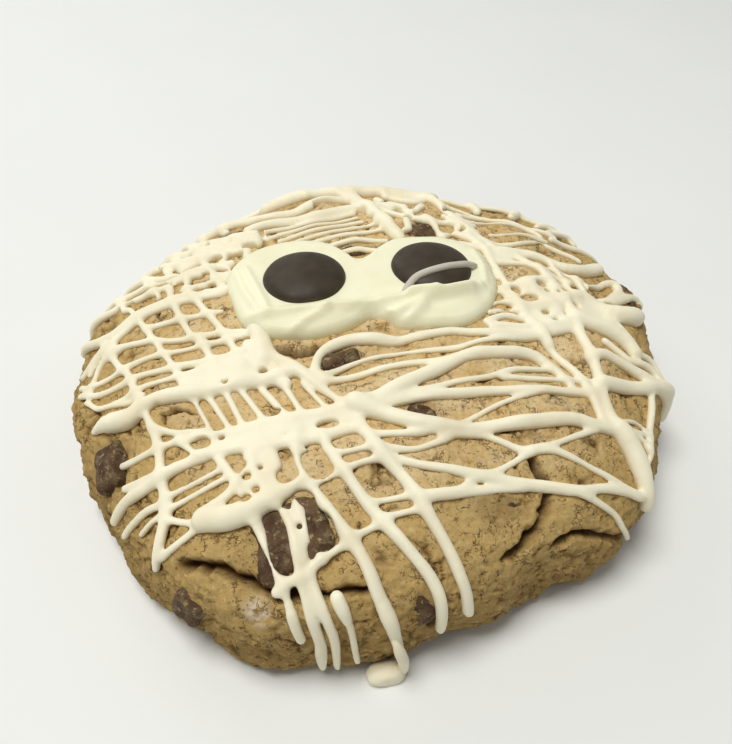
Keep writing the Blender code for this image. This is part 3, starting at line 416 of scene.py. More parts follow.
# Ridges left by the piping: height, half width, line
MASK_RIDGES = (
    (0.9, 0.9, ((-22.3, -2.5), (-16, -2.6), (-6.4, -3), (2.1, -2.5), (7.5, -1.9))),
    (0.7, 0.8, ((-16.6, -7.2), (-14.2, -5.4), (-10.2, -3.5))),
    (0.8, 0.9, ((-5.2, -6.2), (0.4, -5.5), (5.1, -3.7), (12.2, -1.9), (15.7, -0.6))),
    (0.6, 0.8, ((0.6, -8), (2.4, -6.7), (5.2, -4.7))),
    (0.5, 0.7, ((-23.4, 10.8), (-22.3, 4.1), (-20.6, -1.5))),
    (0.5, 0.7, ((-21.5, 10.1), (-20.3, 4.6), (-19, -1.9))),
    (1.2, 1.1, ((3.8, -1.8), (6.5, -2.4), (10, -2.3), (13.4, -1.8))),
    (0.4, 0.7, ((17.2, 1), (18.2, 5), (17.8, 9.5))),
)

# Eyes
EYE_PLACES = {"eye_left": (-12.4, 5.3), "eye_right": (8.9, 5.0)}
EYE_RADIUS = 6.8
EYE_HALF_THICKNESS = 2.5
EYE_POWER = 2.3  # 2 is an ellipsoid, more is flatter on top
EYE_LIFT = 2.2
EYE_STRAND_RADIUS = 0.6
EYE_STRAND = (
    (2.6, -1.2), (3.9, 0.2), (5, 0.8), (6.8, 1.2), (8.8, 1.6), (10.8, 2.1), (12.9, 2.7), (15.3, 3.9),
    (16.6, 4.5),
)

# Chocolate chunks, as in the CAD: place, half sizes, turn in degrees, how far the middle is sunk
CHUNKS = (
    ((-20.5, -39.5), (5.6, 4.6, 3.2), 15, 2.7),
    ((-46.8, -20.4), (3, 3.6, 3), 0, 2.4),
    ((-39, -46), (3.6, 2.6, 2.6), 30, 1.9),
    ((-9.4, -11.9), (3.2, 1.7, 2.2), 10, 1.9),
    ((0.2, -23.9), (2.3, 1.4, 2), -25, 1.6),
    ((7.2, -38.8), (3.6, 2, 2.4), -10, 2.4),
    ((11.6, 21.2), (3.4, 2.5, 2.6), 0, 2.2),
    ((-23.5, 28), (3.4, 2.4, 2.6), 20, 2.2),
    ((-2.2, 15.4), (2.6, 1.5, 1.8), 0, 1.5),
    ((50.5, 4.5), (3.2, 3.4, 2.6), 0, 1.8),
    ((-4.4, -51.8), (2, 2.6, 2.2), 0, 2),
    ((10, 53), (4.2, 3, 2.8), 10, 2),
    ((30, 45), (3.4, 2.8, 2.6), 40, 1.9),
)
CHUNK_POWER = 4.0
# Waves on a chunk: height, fineness, and how the noise moves on for each chunk
CHUNK_WAVES = ((0.16, 1.3, (7.1, 0)), (0.05, 4.0, (3.3, 5)), (0.02, 11.0, (0, 0)))
CHUNK_WELL = 0.35
CHUNK_MARGIN = 0.6  # how far past a chunk's side its well reaches
CHUNK_RAGGED = 0.16
# how much painted shade falls in the well round each chunk
CHUNK_SHADE = 0.35
HIDDEN_CHUNKS = {3: 0.6, 6: 0.7, 10: 0.9}  # by number: how high the dough closes over these

# The camera: focal length in pixels of the 744 pixel side, and where it stands
PICTURE_WIDTH, PICTURE_HEIGHT = 732, 744
FOCAL_PIXELS = 740.0
ELEVATION = math.radians(44.0)
AZIMUTH = math.radians(-13.4)
ROLL = math.radians(3.1)
DISTANCE = 129.5
TARGET = (0.0, 0.0, 12.0)
TARGET_PIXEL = (381.0, 355.0)  # where the target shows in the picture

# Lights: place in metres, size, watts and colour
LIGHTS = {
    "ceiling": ((-0.25, 0.0, 1.0), 0.55, 8.2, (1.0, 0.99, 0.96)),
    "window": ((-0.35, 0.85, 0.5), 0.6, 1.5, (1.0, 1.0, 0.98)),
}
WORLD_STRENGTH = 0.24


# Noise

def noise_tables(seed):
    draw = np.random.default_rng(seed)
    gradients = draw.normal(size=(256, 3))
    gradients /= np.linalg.norm(gradients, axis=1, keepdims=True)
    return draw.permutation(256), gradients, draw.random((256, 3))


def cell_index(order, cells):
    x, y, z = (cells[:, axis] & 255 for axis in range(3))
    return order[(order[(order[x] + y) & 255] + z) & 255]


def swell_noise(points, size, seed):
    """Gradient noise, about -1 to 1, with features of this size in mm."""
    order, gradients, _ = noise_tables(seed)
    points = points / size
    cells = np.floor(points).astype(np.int64)
    inside = points - cells
    fade = inside**3 * (inside * (inside * 6 - 15) + 10)
    total = np.zeros(len(points))
    for corner in itertools.product((0, 1), repeat=3):
        corner = np.array(corner)
        slope = ((inside - corner) * gradients[cell_index(order, cells + corner)]).sum(axis=1)
        total += slope * np.prod(np.where(corner, fade, 1 - fade), axis=1)
    return total * 1.7


def layered(points, layers):
    """A sum of noises, each given by its height, size and seed."""
    return sum(tall * swell_noise(points, size, seed) for tall, size, seed in layers)


def cell_gaps(points, size, seed):
    """Distance to the border between random cells of this size, in mm: 0 along a network of cracks."""
    order, _, places = noise_tables(seed)
    points = points / size
    cells = np.floor(points).astype(np.int64)
    nearest = np.full((2, len(points)), 9.0)
    for step in itertools.product((-1, 0, 1), repeat=3):
        other = cells + np.array(step)
        reach = np.linalg.norm(other + places[cell_index(order, other)] - points, axis=1)
        nearest[1] = np.minimum(nearest[1], np.maximum(nearest[0], reach))
        nearest[0] = np.minimum(nearest[0], reach)
    return (nearest[1] - nearest[0]) * size / 2


# The crust's form

def profile_table():
    """Arc length from the crown, radius and height along the dough's side, for a radius of 1."""
    dome = np.linspace(0.0, math.pi / 2, 300)
    foot = np.linspace(0.0, math.pi / 2, 80)[1:]
    radius = np.concatenate([
        np.sin(dome) ** (2 / DOME_POWER),
        BASE_RATIO + (1 - BASE_RATIO) * np.cos(foot),
    ])
    height = np.concatenate([
        RIM_HEIGHT + (HEIGHT - RIM_HEIGHT) * np.cos(dome) ** (2 / DOME_POWER),
        RIM_HEIGHT * (1 - np.sin(foot)),
    ])
    steps = np.hypot(np.diff(radius), np.diff(height) / RADIUS)
    return np.concatenate([[0.0], np.cumsum(steps)]), radius, height


ARC, ARC_RADIUS, ARC_HEIGHT = profile_table()
ARC_END = float(ARC[-1])


def outline_radius(angle):
    radius = np.full(np.shape(angle), RADIUS)
    for order, cosine, sine in LOBES:
        radius += cosine * np.cos(order * angle) + sine * np.sin(order * angle)
    for centre, width, height in BULGES:
        turn = (np.degrees(angle) - centre + 180) % 360 - 180
        radius += height * np.exp(-((turn / width) ** 2))
    return radius


def crust_points(uv):
    angle = np.arctan2(uv[:, 1], uv[:, 0])
    scale = outline_radius(angle)
    arc = np.minimum(np.hypot(uv[:, 0], uv[:, 1]) / scale, ARC_END)
    radius = scale * np.interp(arc, ARC, ARC_RADIUS)
    height = np.interp(arc, ARC, ARC_HEIGHT)
    return np.stack([radius * np.cos(angle), radius * np.sin(angle), height], axis=1)


def crust_axes(uv, step=0.8):
    """Directions on the crust of +u, +v and the outward normal."""
    across = crust_points(uv + (step, 0)) - crust_points(uv - (step, 0))
    along = crust_points(uv + (0, step)) - crust_points(uv - (0, step))
    across /= np.linalg.norm(across, axis=1, keepdims=True)
    normal = np.cross(across, along)
    normal /= np.linalg.norm(normal, axis=1, keepdims=True)
    return across, np.cross(normal, across), normal


def lift_off(uv, height):
    """Points at a height in mm over the smooth crust."""
    return crust_points(uv) + crust_axes(uv)[2] * np.reshape(height, (-1, 1))


def distance_to_line(uv, line):
    nearest = np.full(len(uv), 1e9)
    for start, end in zip(line, line[1:]):
        start, along = np.array(start, float), np.subtract(end, start)
        share = np.clip((uv - start) @ along / (along @ along), 0, 1)
        nearest = np.minimum(nearest, np.linalg.norm(uv - start - share[:, None] * along, axis=1))
    return nearest


def inside_mask(uv):
    reach = np.min([np.linalg.norm(uv - place, axis=1) for place in EYE_PLACES.values()], axis=0)
    return np.clip((MASK_REACH - reach) / MASK_FADE, 0, 1)


def lumps(uv):
    """The CAD's swells in the crust."""
    height = np.zeros(len(uv))
    places = crust_points(uv) + LUMP_SEED
    for size, tall in LUMPS:
        height += tall * np.array([noise.noise(place) for place in (places / size).tolist()])
    return height * (1 - inside_mask(uv))


def smooth_points(points, step, closed=False):
    """Points about a step apart on a Catmull-Rom curve through the given ones."""
    points = [np.array(point, float) for point in points]
    if closed:
        ring = [points[-1], *points, points[0], points[1]]
    else:
        ring = [2 * points[0] - points[1], *points, 2 * points[-1] - points[-2]]
    smooth = []
    for before, start, end, after in zip(ring, ring[1:], ring[2:], ring[3:]):
        count = max(1, round(np.linalg.norm(end - start) / step))
        for part in range(count):
            t = part / count
            smooth.append(0.5 * (
                2 * start + (end - before) * t
                + (2 * before - 5 * start + 4 * end - after) * t**2
                + (3 * start - before - 3 * end + after) * t**3
            ))
    return np.array(smooth if closed else [*smooth, points[-1]])


def frame_shift():
    """From this script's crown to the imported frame's origin, read from where the left eye was packed."""
    low, high = (np.array(corner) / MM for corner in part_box("eye_left"))
    eye = lift_off(np.array([EYE_PLACES["eye_left"]]), EYE_LIFT)[0]
    shift = (low + high) / 2 - eye
    shift[2] = 0.0
    return shift


SHIFT = frame_shift()


# Meshes and materials

def new_mesh(name, points, faces):
    """A smooth mesh from points in mm and lists of point numbers."""
    mesh = bpy.data.meshes.new(name)
    mesh.from_pydata(((points + SHIFT) * MM).tolist(), [], faces)
    mesh.validate()
    mesh.shade_smooth()
    return mesh


def mesh_of(shape, name):
    """A smooth mesh from a bmesh, which is freed."""
    mesh = bpy.data.meshes.new(name)
    shape.to_mesh(mesh)
    shape.free()
    mesh.shade_smooth()
    return mesh


def read_points(mesh):
    points = np.empty(len(mesh.vertices) * 3, np.float32)
    mesh.vertices.foreach_get("co", points)
    return points.reshape(-1, 3).astype(float)


def set_points(mesh, points):
    """Moves a mesh's points to the given places in mm."""
    mesh.vertices.foreach_set("co", ((points + SHIFT) * MM).astype(np.float32).reshape(-1))
    mesh.update()


def add_piece(name, mesh, material, slot, *nodes):
    mesh.materials.clear()
    mesh.materials.append(material)
    piece = bpy.data.objects.new(name, mesh)
    bpy.context.scene.collection.objects.link(piece)
    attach(piece, "root")
    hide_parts(*nodes)


def set_attribute(mesh, name, values):
    """A number for each point, which the material reads by name."""
    layer = mesh.attributes.new(name, "FLOAT", "POINT")
    layer.data.foreach_set("value", np.asarray(values, np.float32))


class Nodes:
    """Adds nodes to a material and links them, one short call each."""

    def __init__(self, name, roughness, specular=0.5):
        self.material = bpy.data.materials.new(name)
        self.material.use_nodes = True
        self.tree = self.material.node_tree
        self.shader = self.tree.nodes["Principled BSDF"]
        self.shader.inputs["Roughness"].default_value = roughness
        self.shader.inputs["Specular IOR Level"].default_value = specular
        self.place = self.add("ShaderNodeTexCoord").outputs["Object"]

    def add(self, kind, **settings):
        node = self.tree.nodes.new(kind)
        for name, value in settings.items():
            setattr(node, name, value)
        return node

    def link(self, source, target):
        if hasattr(source, "is_linked"):
            self.tree.links.new(source, target)
        else:
            target.default_value = source

    def noise(self, size, detail=4.0, roughness=0.5):
        """Noise of 0 to 1 with features of this size in mm."""
        node = self.add("ShaderNodeTexNoise")
        self.link(self.place, node.inputs["Vector"])
        node.inputs["Scale"].default_value = 1 / (size * MM)
        node.inputs["Detail"].default_value = detail
        node.inputs["Roughness"].default_value = roughness
        return node.outputs["Fac"]

    def cracks(self, size, warp):
        """Distance from a network of cell borders, its lines bent by noise."""
        bend = self.add("ShaderNodeVectorMath", operation="MULTIPLY_ADD")
        swirl = self.add("ShaderNodeTexNoise")
        self.link(self.place, swirl.inputs["Vector"])
        swirl.inputs["Scale"].default_value = 1 / (size * 0.6 * MM)
        self.link(swirl.outputs["Color"], bend.inputs[0])
        bend.inputs[1].default_value = (warp * MM,) * 3
        self.link(self.place, bend.inputs[2])
        node = self.add("ShaderNodeTexVoronoi", feature="DISTANCE_TO_EDGE")
        self.link(bend.outputs["Vector"], node.inputs["Vector"])
        node.inputs["Scale"].default_value = 1 / (size * MM)
        return node.outputs["Distance"]

    def attribute(self, name):
        return self.add("ShaderNodeAttribute", attribute_name=name).outputs["Fac"]

    def ramp(self, value, low, high, start=0.0, end=1.0):
        """start at low, end at high, smooth between."""
        node = self.add("ShaderNodeMapRange", interpolation_type="SMOOTHSTEP")
        self.link(value, node.inputs["Value"])
        for name, number in (("From Min", low), ("From Max", high), ("To Min", start), ("To Max", end)):
            node.inputs[name].default_value = number
        return node.outputs["Result"]

    def math(self, operation, first, second=0.0):
        node = self.add("ShaderNodeMath", operation=operation)
        self.link(first, node.inputs[0])
        self.link(second, node.inputs[1])
        return node.outputs["Value"]

    def mix(self, share, first, second):
        node = self.add("ShaderNodeMix", data_type="RGBA")
        self.link(share, node.inputs["Factor"])
        for socket, colour in ((node.inputs["A"], first), (node.inputs["B"], second)):
            self.link((*colour, 1) if isinstance(colour, tuple) else colour, socket)
        return node.outputs["Result"]

    def bump(self, height, distance, strength=1.0, normal=None):
        node = self.add("ShaderNodeBump")
        self.link(height, node.inputs["Height"])
        node.inputs["Distance"].default_value = distance * MM
        node.inputs["Strength"].default_value = strength
        if normal is not None:
            self.link(normal, node.inputs["Normal"])
        return node.outputs["Normal"]

    def finish(self, colour, normal, roughness=None):
        self.link(colour, self.shader.inputs["Base Color"])
        self.link(normal, self.shader.inputs["Normal"])
        if roughness is not None:
            self.link(roughness, self.shader.inputs["Roughness"])
        return self.material


def srgb(red, green, blue):
    """A colour given as it looks, 0 to 255, in the linear numbers that shaders take."""
    return tuple(((part / 255 + 0.055) / 1.055) ** 2.4 for part in (red, green, blue))


def dough_material():
    """Baked dough: sandy and yellow-brown, paler on top, toasted down the side, with painted shade in
    cracks, pores and hollows.
    """
    nodes = Nodes("dough", 0.9, 0.2)
    pale, gold, grain = srgb(226, 202, 156), srgb(214, 182, 124), srgb(172, 134, 76)
    # deep is the dark brown of the painted shade in cracks, pores and hollows
    toast, burnt, deep = srgb(196, 166, 106), srgb(164, 134, 80), srgb(92, 60, 22)
    colour = nodes.mix(nodes.ramp(nodes.noise(5.0, 5.0, 0.6), 0.38, 0.62), gold, pale)
    toasted = nodes.attribute("toasted")
    colour = nodes.mix(nodes.ramp(toasted, 0.0, 0.6), colour, toast)
    colour = nodes.mix(nodes.ramp(toasted, 0.55, 1.0, 0.0, 0.85), colour, burnt)
    dusting = nodes.ramp(nodes.noise(1.2, 4.0, 0.6), 0.4, 0.55)
    floured = nodes.math("MULTIPLY", nodes.attribute("floured"), dusting)
    colour = nodes.mix(nodes.math("MULTIPLY", floured, 0.8), colour, srgb(226, 210, 190))
    sand = nodes.noise(0.8, 6.0, 0.72)
    colour = nodes.mix(nodes.ramp(sand, 0.5, 0.68, 0.0, 0.6), colour, grain)
    colour = nodes.mix(nodes.ramp(sand, 0.46, 0.34, 0.0, 0.35), colour, srgb(234, 214, 166))
    # Painted shade along a network of hairline cracks, which are bumped in as well
    hairline = nodes.cracks(1.3, 2.2)
    broken = nodes.ramp(nodes.noise(2.2, 4.0, 0.65), 0.5, 0.6)
    hairline_shade = nodes.math("MULTIPLY", nodes.ramp(hairline, 0.0, 0.09, 1.0, 0.0), broken)
    colour = nodes.mix(nodes.math("MULTIPLY", hairline_shade, 0.75), colour, deep)
    # Painted shade in the pores, which are bumped in as well
    pores = nodes.ramp(nodes.noise(0.45, 2.0, 0.5), 0.66, 0.73)
    colour = nodes.mix(nodes.math("MULTIPLY", pores, 0.6), colour, deep)
    # Painted shade in the dough's recesses: main cracks, fine network, pits and the wells round chunks
    colour = nodes.mix(nodes.attribute("recess_shade"), colour, deep)
    normal = nodes.bump(sand, 0.5, 0.7)
    normal = nodes.bump(nodes.math("MULTIPLY", hairline_shade, -1.0), 0.25, 0.7, normal)
    normal = nodes.bump(nodes.math("MULTIPLY", pores, -1.0), 0.3, 0.6, normal)
    return nodes.finish(colour, normal)


def icing_material(name, colour, shade):
    """Set icing: satin, faintly waxy, cloudy from one tone to the other, and yellower where it is thin."""
    nodes = Nodes(name, 0.42, 0.3)
    tone = nodes.mix(nodes.ramp(nodes.noise(9.0, 3.0), 0.4, 0.7), colour, shade)
    tone = nodes.mix(nodes.math("MULTIPLY", nodes.attribute("thin"), 0.45), tone, srgb(204, 184, 140))
    nodes.shader.inputs["Subsurface Weight"].default_value = 0.25
    nodes.shader.inputs["Subsurface Radius"].default_value = (0.9 * MM, 0.8 * MM, 0.55 * MM)
    nodes.shader.inputs["Subsurface Scale"].default_value = 1.0
    roughness = nodes.ramp(nodes.noise(2.5, 3.0), 0.3, 0.7, 0.45, 0.6)
    normal = nodes.bump(nodes.noise(1.8, 3.0), 0.25, 0.35)
    return nodes.finish(tone, normal, roughness)


def candy_material():
    """A dark brown candy shell, nearly matt, with faint dust and uneven gloss."""
    nodes = Nodes("candy", 0.5, 0.25)
    colour = nodes.mix(nodes.ramp(nodes.noise(3.0, 4.0), 0.35, 0.7), srgb(58, 50, 38), srgb(68, 59, 46))
    colour = nodes.mix(nodes.ramp(nodes.noise(0.35, 2.0), 0.7, 0.78, 0.0, 0.2), colour, srgb(110, 100, 84))
    roughness = nodes.ramp(nodes.noise(2.0, 4.0), 0.3, 0.7, 0.44, 0.56)
    return nodes.finish(colour, nodes.bump(nodes.noise(1.2, 3.0), 0.04, 0.5), roughness)


def chocolate_material():
    """Dark chocolate that baked at the surface: brown, dull, dusted with grey bloom and dough."""
    nodes = Nodes("chocolate", 0.75, 0.25)
    colour = nodes.mix(nodes.ramp(nodes.noise(2.0, 4.0), 0.35, 0.7), srgb(76, 54, 36), srgb(108, 84, 60))
    dust = nodes.ramp(nodes.noise(1.4, 6.0, 0.7), 0.48, 0.66, 0.0, 0.75)
    colour = nodes.mix(dust, colour, srgb(142, 126, 92))
    flecks = nodes.ramp(nodes.noise(0.9, 5.0, 0.6), 0.58, 0.68, 0.0, 0.8)
    colour = nodes.mix(flecks, colour, srgb(180, 156, 112))
    normal = nodes.bump(nodes.noise(0.7, 6.0, 0.7), 0.4, 0.8)
    return nodes.finish(colour, normal)


# The dough

def crack_relief(uv, places, ragged):
    """The main cracks: their height, how much painted shade each point gets in them, and how far the nearest
    crack is.
    """
    bent = uv + np.stack([layered(places, layers) for layers in CRACK_BEND], axis=1)
    height = np.zeros(len(uv))
    recess_shade = np.zeros(len(uv))
    nearest = np.full(len(uv), np.inf)
    for depth, half_width, line in CRACKS:
        reach = np.maximum(distance_to_line(bent, line) + CRACK_RAGGED * ragged, 0)
        cleft = np.exp(-((reach / (CRACK_SHARE * half_width)) ** 2))
        height -= depth * cleft
        recess_shade = np.maximum(recess_shade, cleft)
        nearest = np.minimum(nearest, reach)
    return height, recess_shade, nearest


def chunk_wells(uv, ragged):
    """Dough sinks a little round a chunk, or closes over a hidden one; the well round it gets painted shade.
    """
    height = np.zeros(len(uv))
    recess_shade = np.zeros(len(uv))
    for number, (place, half_sizes, _, _) in enumerate(CHUNKS, 1):
        offset = (uv - place) / np.add(half_sizes[:2], CHUNK_MARGIN)
        reach = np.linalg.norm(offset, axis=1) + CHUNK_RAGGED * ragged
        well = np.exp(-(reach**4))
        height -= (CHUNK_WELL - HIDDEN_CHUNKS.get(number, 0)) * well
        recess_shade = np.maximum(recess_shade, CHUNK_SHADE * well)
    return height, recess_shade


def fine_network(places, side, nearest):
    """The crackle between the main cracks, 0 to 1: patchy, and denser down the side."""
    bend = np.stack([layered(places, layers) for layers in NETWORK_BEND], axis=1)
    gaps = cell_gaps(places + bend, NETWORK_SIZE, NETWORK_SEED)
    patches = np.clip(swell_noise(places, 4.5, 19) * 2.2 - 0.25 + 0.35 * side, 0, 1)
    clear = np.clip(nearest / CRACK_CLEAR - 0.6, 0, 1)
    return np.exp(-((gaps / NETWORK_HALF_WIDTH) ** 2)) * patches * clear


def dough_relief(uv, places):
    """Heights over the smooth crust, and how much painted shade each point gets in cracks, wells, the fine
    network and pits, 0 to 1.
    """
    ragged = layered(places, RAGGED)
    crack_height, crack_shade, nearest = crack_relief(uv, places, ragged)
    well_height, well_shade = chunk_wells(uv, ragged)
    side = np.clip((np.hypot(uv[:, 0], uv[:, 1]) - SIDE_START) / SIDE_WIDTH, 0, 1)
    folds = sum(tall * np.abs(swell_noise(places, size, seed)) for tall, size, seed in SIDE_FOLDS)
    network = fine_network(places, side, nearest)
    pits = np.clip(swell_noise(places, 1.0, 20) - 0.45, 0, 1) * 2.4
    height = lumps(uv) + crack_height + well_height + layered(places, CRUMBS)
    height += side * (0.25 + 0.4 * swell_noise(places, 5.0, 13) - folds)
    height -= NETWORK_DEPTH * network + PIT_DEPTH * pits
    # Painted shade: full in main cracks and wells, less in the fine network and pits
    return height, np.max([crack_shade, well_shade, 0.8 * network, 0.6 * pits], axis=0)


def make_dough():
    shape = bmesh.new()
    bmesh.ops.create_icosphere(shape, subdivisions=DOUGH_DETAIL, radius=1)
    mesh = mesh_of(shape, "dough")
    directions = read_points(mesh)
    angle = np.arctan2(directions[:, 1], directions[:, 0])
    polar = np.arccos(np.clip(directions[:, 2], -1, 1))
    scale = outline_radius(angle)
    on_base = polar > BASE_ANGLE
    arc = ARC_END * scale * np.minimum(np.sin(polar / 2) / math.sin(BASE_ANGLE / 2), 1)
    uv = np.stack([arc * np.cos(angle), arc * np.sin(angle)], axis=1)
    height, recess_shade = dough_relief(uv, crust_points(uv))
    points = lift_off(uv, height)
    points[:, 2] = np.maximum(points[:, 2], 0)
    inward = np.sin((math.pi - polar) / 2) / math.sin((math.pi - BASE_ANGLE) / 2)
    radius = BASE_RATIO * scale * inward
    base = np.stack([radius * np.cos(angle), radius * np.sin(angle), np.zeros(len(angle))], axis=1)
    set_points(mesh, np.where(on_base[:, None], base, points))
    reach = np.hypot(uv[:, 0], uv[:, 1]) / scale
    flour = np.linalg.norm(uv - FLOUR_PLACE, axis=1) / FLOUR_RADIUS
    # Painted shade in the dough's recesses, none on the flat base
    set_attribute(mesh, "recess_shade", recess_shade * ~on_base)
    set_attribute(mesh, "toasted", np.clip((reach - TOAST_START) / (TOAST_END - TOAST_START), 0, 1))
    set_attribute(mesh, "floured", np.clip(1.4 - flour, 0, 1))
    add_piece("dough_round", mesh, dough_material(), "dough", "cookie")


# The drizzle

def family_lines(count, first, last, draw):
    """Even strands from the first to the last one, each a little off its place."""
    for share in np.linspace(0, 1, count):
        start, end = (np.array(near) * (1 - share) + np.array(far) * share for near, far in zip(first, last))
        wander = draw.uniform(-FAMILY_WANDER, FAMILY_WANDER, 2)
        yield start + wander, (start + end) / 2 - wander, end + wander


def all_strands():
    draw = np.random.default_rng(FAMILY_SEED)
    strands = [*LEFT_STRANDS, *BACK_STRANDS, *RIGHT_STRANDS, *FRONT_STRANDS]
    for radius, count, first, last in FAMILIES:
        strands += [(radius, line) for line in family_lines(count, first, last, draw)]
    return strands


def ellipse_gap(along, across, half_length, half_width):
    """About how far a point lies outside an ellipse, below 0 inside it."""
    share = np.hypot(along / half_length, across / half_width)
    steepness = np.hypot(along / half_length**2, across / half_width**2)
    return share * (share - 1) / np.maximum(steepness, 1e-6)


class Field:
    """How much icing there is at each u, v and height over the crust: over 1 inside it."""

    def __init__(self):
        self.across = np.arange(-GRID_REACH, GRID_REACH, GRID_STEP)
        self.rises = np.arange(GRID_LOW, GRID_HIGH, GRID_RISE)
        size = len(self.across)
        self.amount = np.zeros((size, size, len(self.rises)), np.float32)
        self.top = np.zeros((size, size), np.float32)

    def window(self, low, high):
        """The part of the grid that covers a rectangle, and the places of its points."""
        first = np.floor((np.array(low) + GRID_REACH) / GRID_STEP).astype(int)
        last = np.floor((np.array(high) + GRID_REACH) / GRID_STEP).astype(int) + 2
        first = np.clip(first, 0, len(self.across))
        last = np.clip(last, 0, len(self.across))
        where = (slice(first[0], last[0]), slice(first[1], last[1]))
        grid = np.meshgrid(self.across[where[0]], self.across[where[1]], indexing="ij")
        return where, np.stack(grid, axis=-1)

    def height_under(self, places):
        index = ((places + GRID_REACH) / GRID_STEP).round().astype(int)
        index = np.clip(index, 0, len(self.across) - 1)
        return self.top[index[:, 0], index[:, 1]]

    def add_strand(self, line, radius, seed):
        line = smooth_points([point if len(point) == 3 else (*point, radius) for point in line], 1.0)
        places, radii = line[:, :2], line[:, 2]
        along = np.arange(len(places), dtype=float)
        wobble = [np.stack([along, along * 0 + part, along * 0 + seed], axis=1) for part in (0.3, 7.7, 15.1)]
        wander = np.stack([swell_noise(wobble[part], 5.0, 31) for part in (0, 1)], axis=1)
        places = places + STRAND_WANDER * wander
        radii = radii * (1 + STRAND_UNEVEN * swell_noise(wobble[2], 4.0, 32))
        under = np.convolve(np.pad(self.height_under(places), 1, mode="edge"), (0.25, 0.5, 0.25), "valid")
        rises = STRAND_RISE * radii + STRAND_STACK * under
        margin = radii.max() + FIELD_REACH
        where, grid = self.window(places.min(axis=0) - margin, places.max(axis=0) + margin)
        nearest = np.full((*grid.shape[:2], len(self.rises)), 9.0, np.float32)
        roof = np.zeros(grid.shape[:2], np.float32)
        for start, end, rise, radius_here in zip(places, places[1:], rises, radii):
            along = end - start
            low, high = np.minimum(start, end) - margin, np.maximum(start, end) + margin
            rows = (grid[:, 0, 0] > low[0]) & (grid[:, 0, 0] < high[0])
            columns = (grid[0, :, 1] > low[1]) & (grid[0, :, 1] < high[1])
            near = np.ix_(rows, columns)
            offset = grid[near] - start
            share = np.clip(offset @ along / max(along @ along, 1e-9), 0, 1)
            flat = np.linalg.norm(offset - share[..., None] * along, axis=-1)
            reach = np.hypot(flat[..., None], self.rises - rise) - radius_here
            nearest[near] = np.minimum(nearest[near], reach)
            crown = rise + np.sqrt(np.maximum(radius_here**2 - flat**2, 0))
            roof[near] = np.maximum(roof[near], np.where(flat < radius_here, crown, 0))
        self.amount[where] += np.exp(-nearest / FILLET)
        self.top[where] = np.maximum(self.top[where], roof)

    def add_pool(self, place, half_length, half_width, turn):
        reach = max(half_length, half_width) + POOL_REACH
        where, grid = self.window(np.subtract(place, reach), np.add(place, reach))
        cosine, sine = math.cos(math.radians(turn)), math.sin(math.radians(turn))
        offset = grid - place
        flat = ellipse_gap(offset @ (cosine, sine), offset @ (-sine, cosine), half_length, half_width)
        out = np.maximum(flat[..., None] + POOL_HEIGHT, 0)
        self.amount[where] += np.exp((POOL_HEIGHT - np.hypot(out, self.rises)) / FILLET)

    def level(self):
        """Below 0 inside the icing: a distance in mm near its skin."""
        level = -FILLET * np.log(np.maximum(self.amount, 1e-12))
        for u, v, half_width, half_height in HOLES:
            reach = max(half_width, half_height) + POOL_REACH
            where, grid = self.window((u - reach, v - reach), (u + reach, v + reach))
            inside = -ellipse_gap(grid[..., 0] - u, grid[..., 1] - v, half_width, half_height)
            apart = level[where] - inside[..., None]
            level[where] = (level[where] + inside[..., None] + np.sqrt(apart**2 + HOLE_ROUNDING**2)) / 2
        level[:, :, 0] = GRID_RISE
        return level


def skin_of(level, origin, steps):
    """Points and quads of the surface where a grid of levels passes 0, one point in each mixed cell."""
    inside = level < 0
    total = np.zeros((*(size - 1 for size in level.shape), 3), np.float32)
    count = np.zeros(total.shape[:3], np.float32)
    quads = []
    for axis in range(3):
        low = [slice(None)] * 3
        high = [slice(None)] * 3
        low[axis], high[axis] = slice(0, -1), slice(1, None)
        low, high = tuple(low), tuple(high)
        crossing = np.argwhere(inside[low] != inside[high])
        first, second = level[low][tuple(crossing.T)], level[high][tuple(crossing.T)]
        places = crossing.astype(np.float32)
        places[:, axis] += first / (first - second)
        sides = [other for other in range(3) if other != axis]
        corners = []
        for shift in ((0, 0), (1, 0), (1, 1), (0, 1)):
            cell = crossing.copy()
            cell[:, sides[0]] -= shift[0]
            cell[:, sides[1]] -= shift[1]
            corners.append(cell)
        whole = np.all([
            np.all((cell >= 0) & (cell < np.array(count.shape)), axis=1) for cell in corners
        ], axis=0)
        for cell in corners:
            kept = tuple(cell[whole].T)
            np.add.at(total, kept, places[whole])
            np.add.at(count, kept, 1)
        flat = np.stack([np.ravel_multi_index(cell[whole].T, count.shape) for cell in corners], axis=1)
        outward = inside[low][tuple(crossing[whole].T)]
        if axis == 1:
            outward = ~outward
        quads.append(np.where(outward[:, None], flat[:, ::-1], flat))
    quads = np.concatenate(quads)
    used, index = np.unique(quads, return_inverse=True)
    points = total.reshape(-1, 3)[used] / count.reshape(-1, 1)[used]
    return points * steps + origin, index.reshape(quads.shape)


def relax(points, quads, rounds, share):
    """Evens out the grid's steps in a skin: each point moves towards the middle of its neighbours."""
    ends = np.concatenate([quads[:, [0, 1]], quads[:, [1, 2]], quads[:, [2, 3]], quads[:, [3, 0]]])
    for step in rounds * (share, -share * 1.04):
        middle = np.zeros_like(points)
        count = np.zeros((len(points), 1))
        np.add.at(middle, ends[:, 0], points[ends[:, 1]])
        np.add.at(count, ends[:, 0], 1)
        points = points + step * (middle / np.maximum(count, 1) - points)
    return points


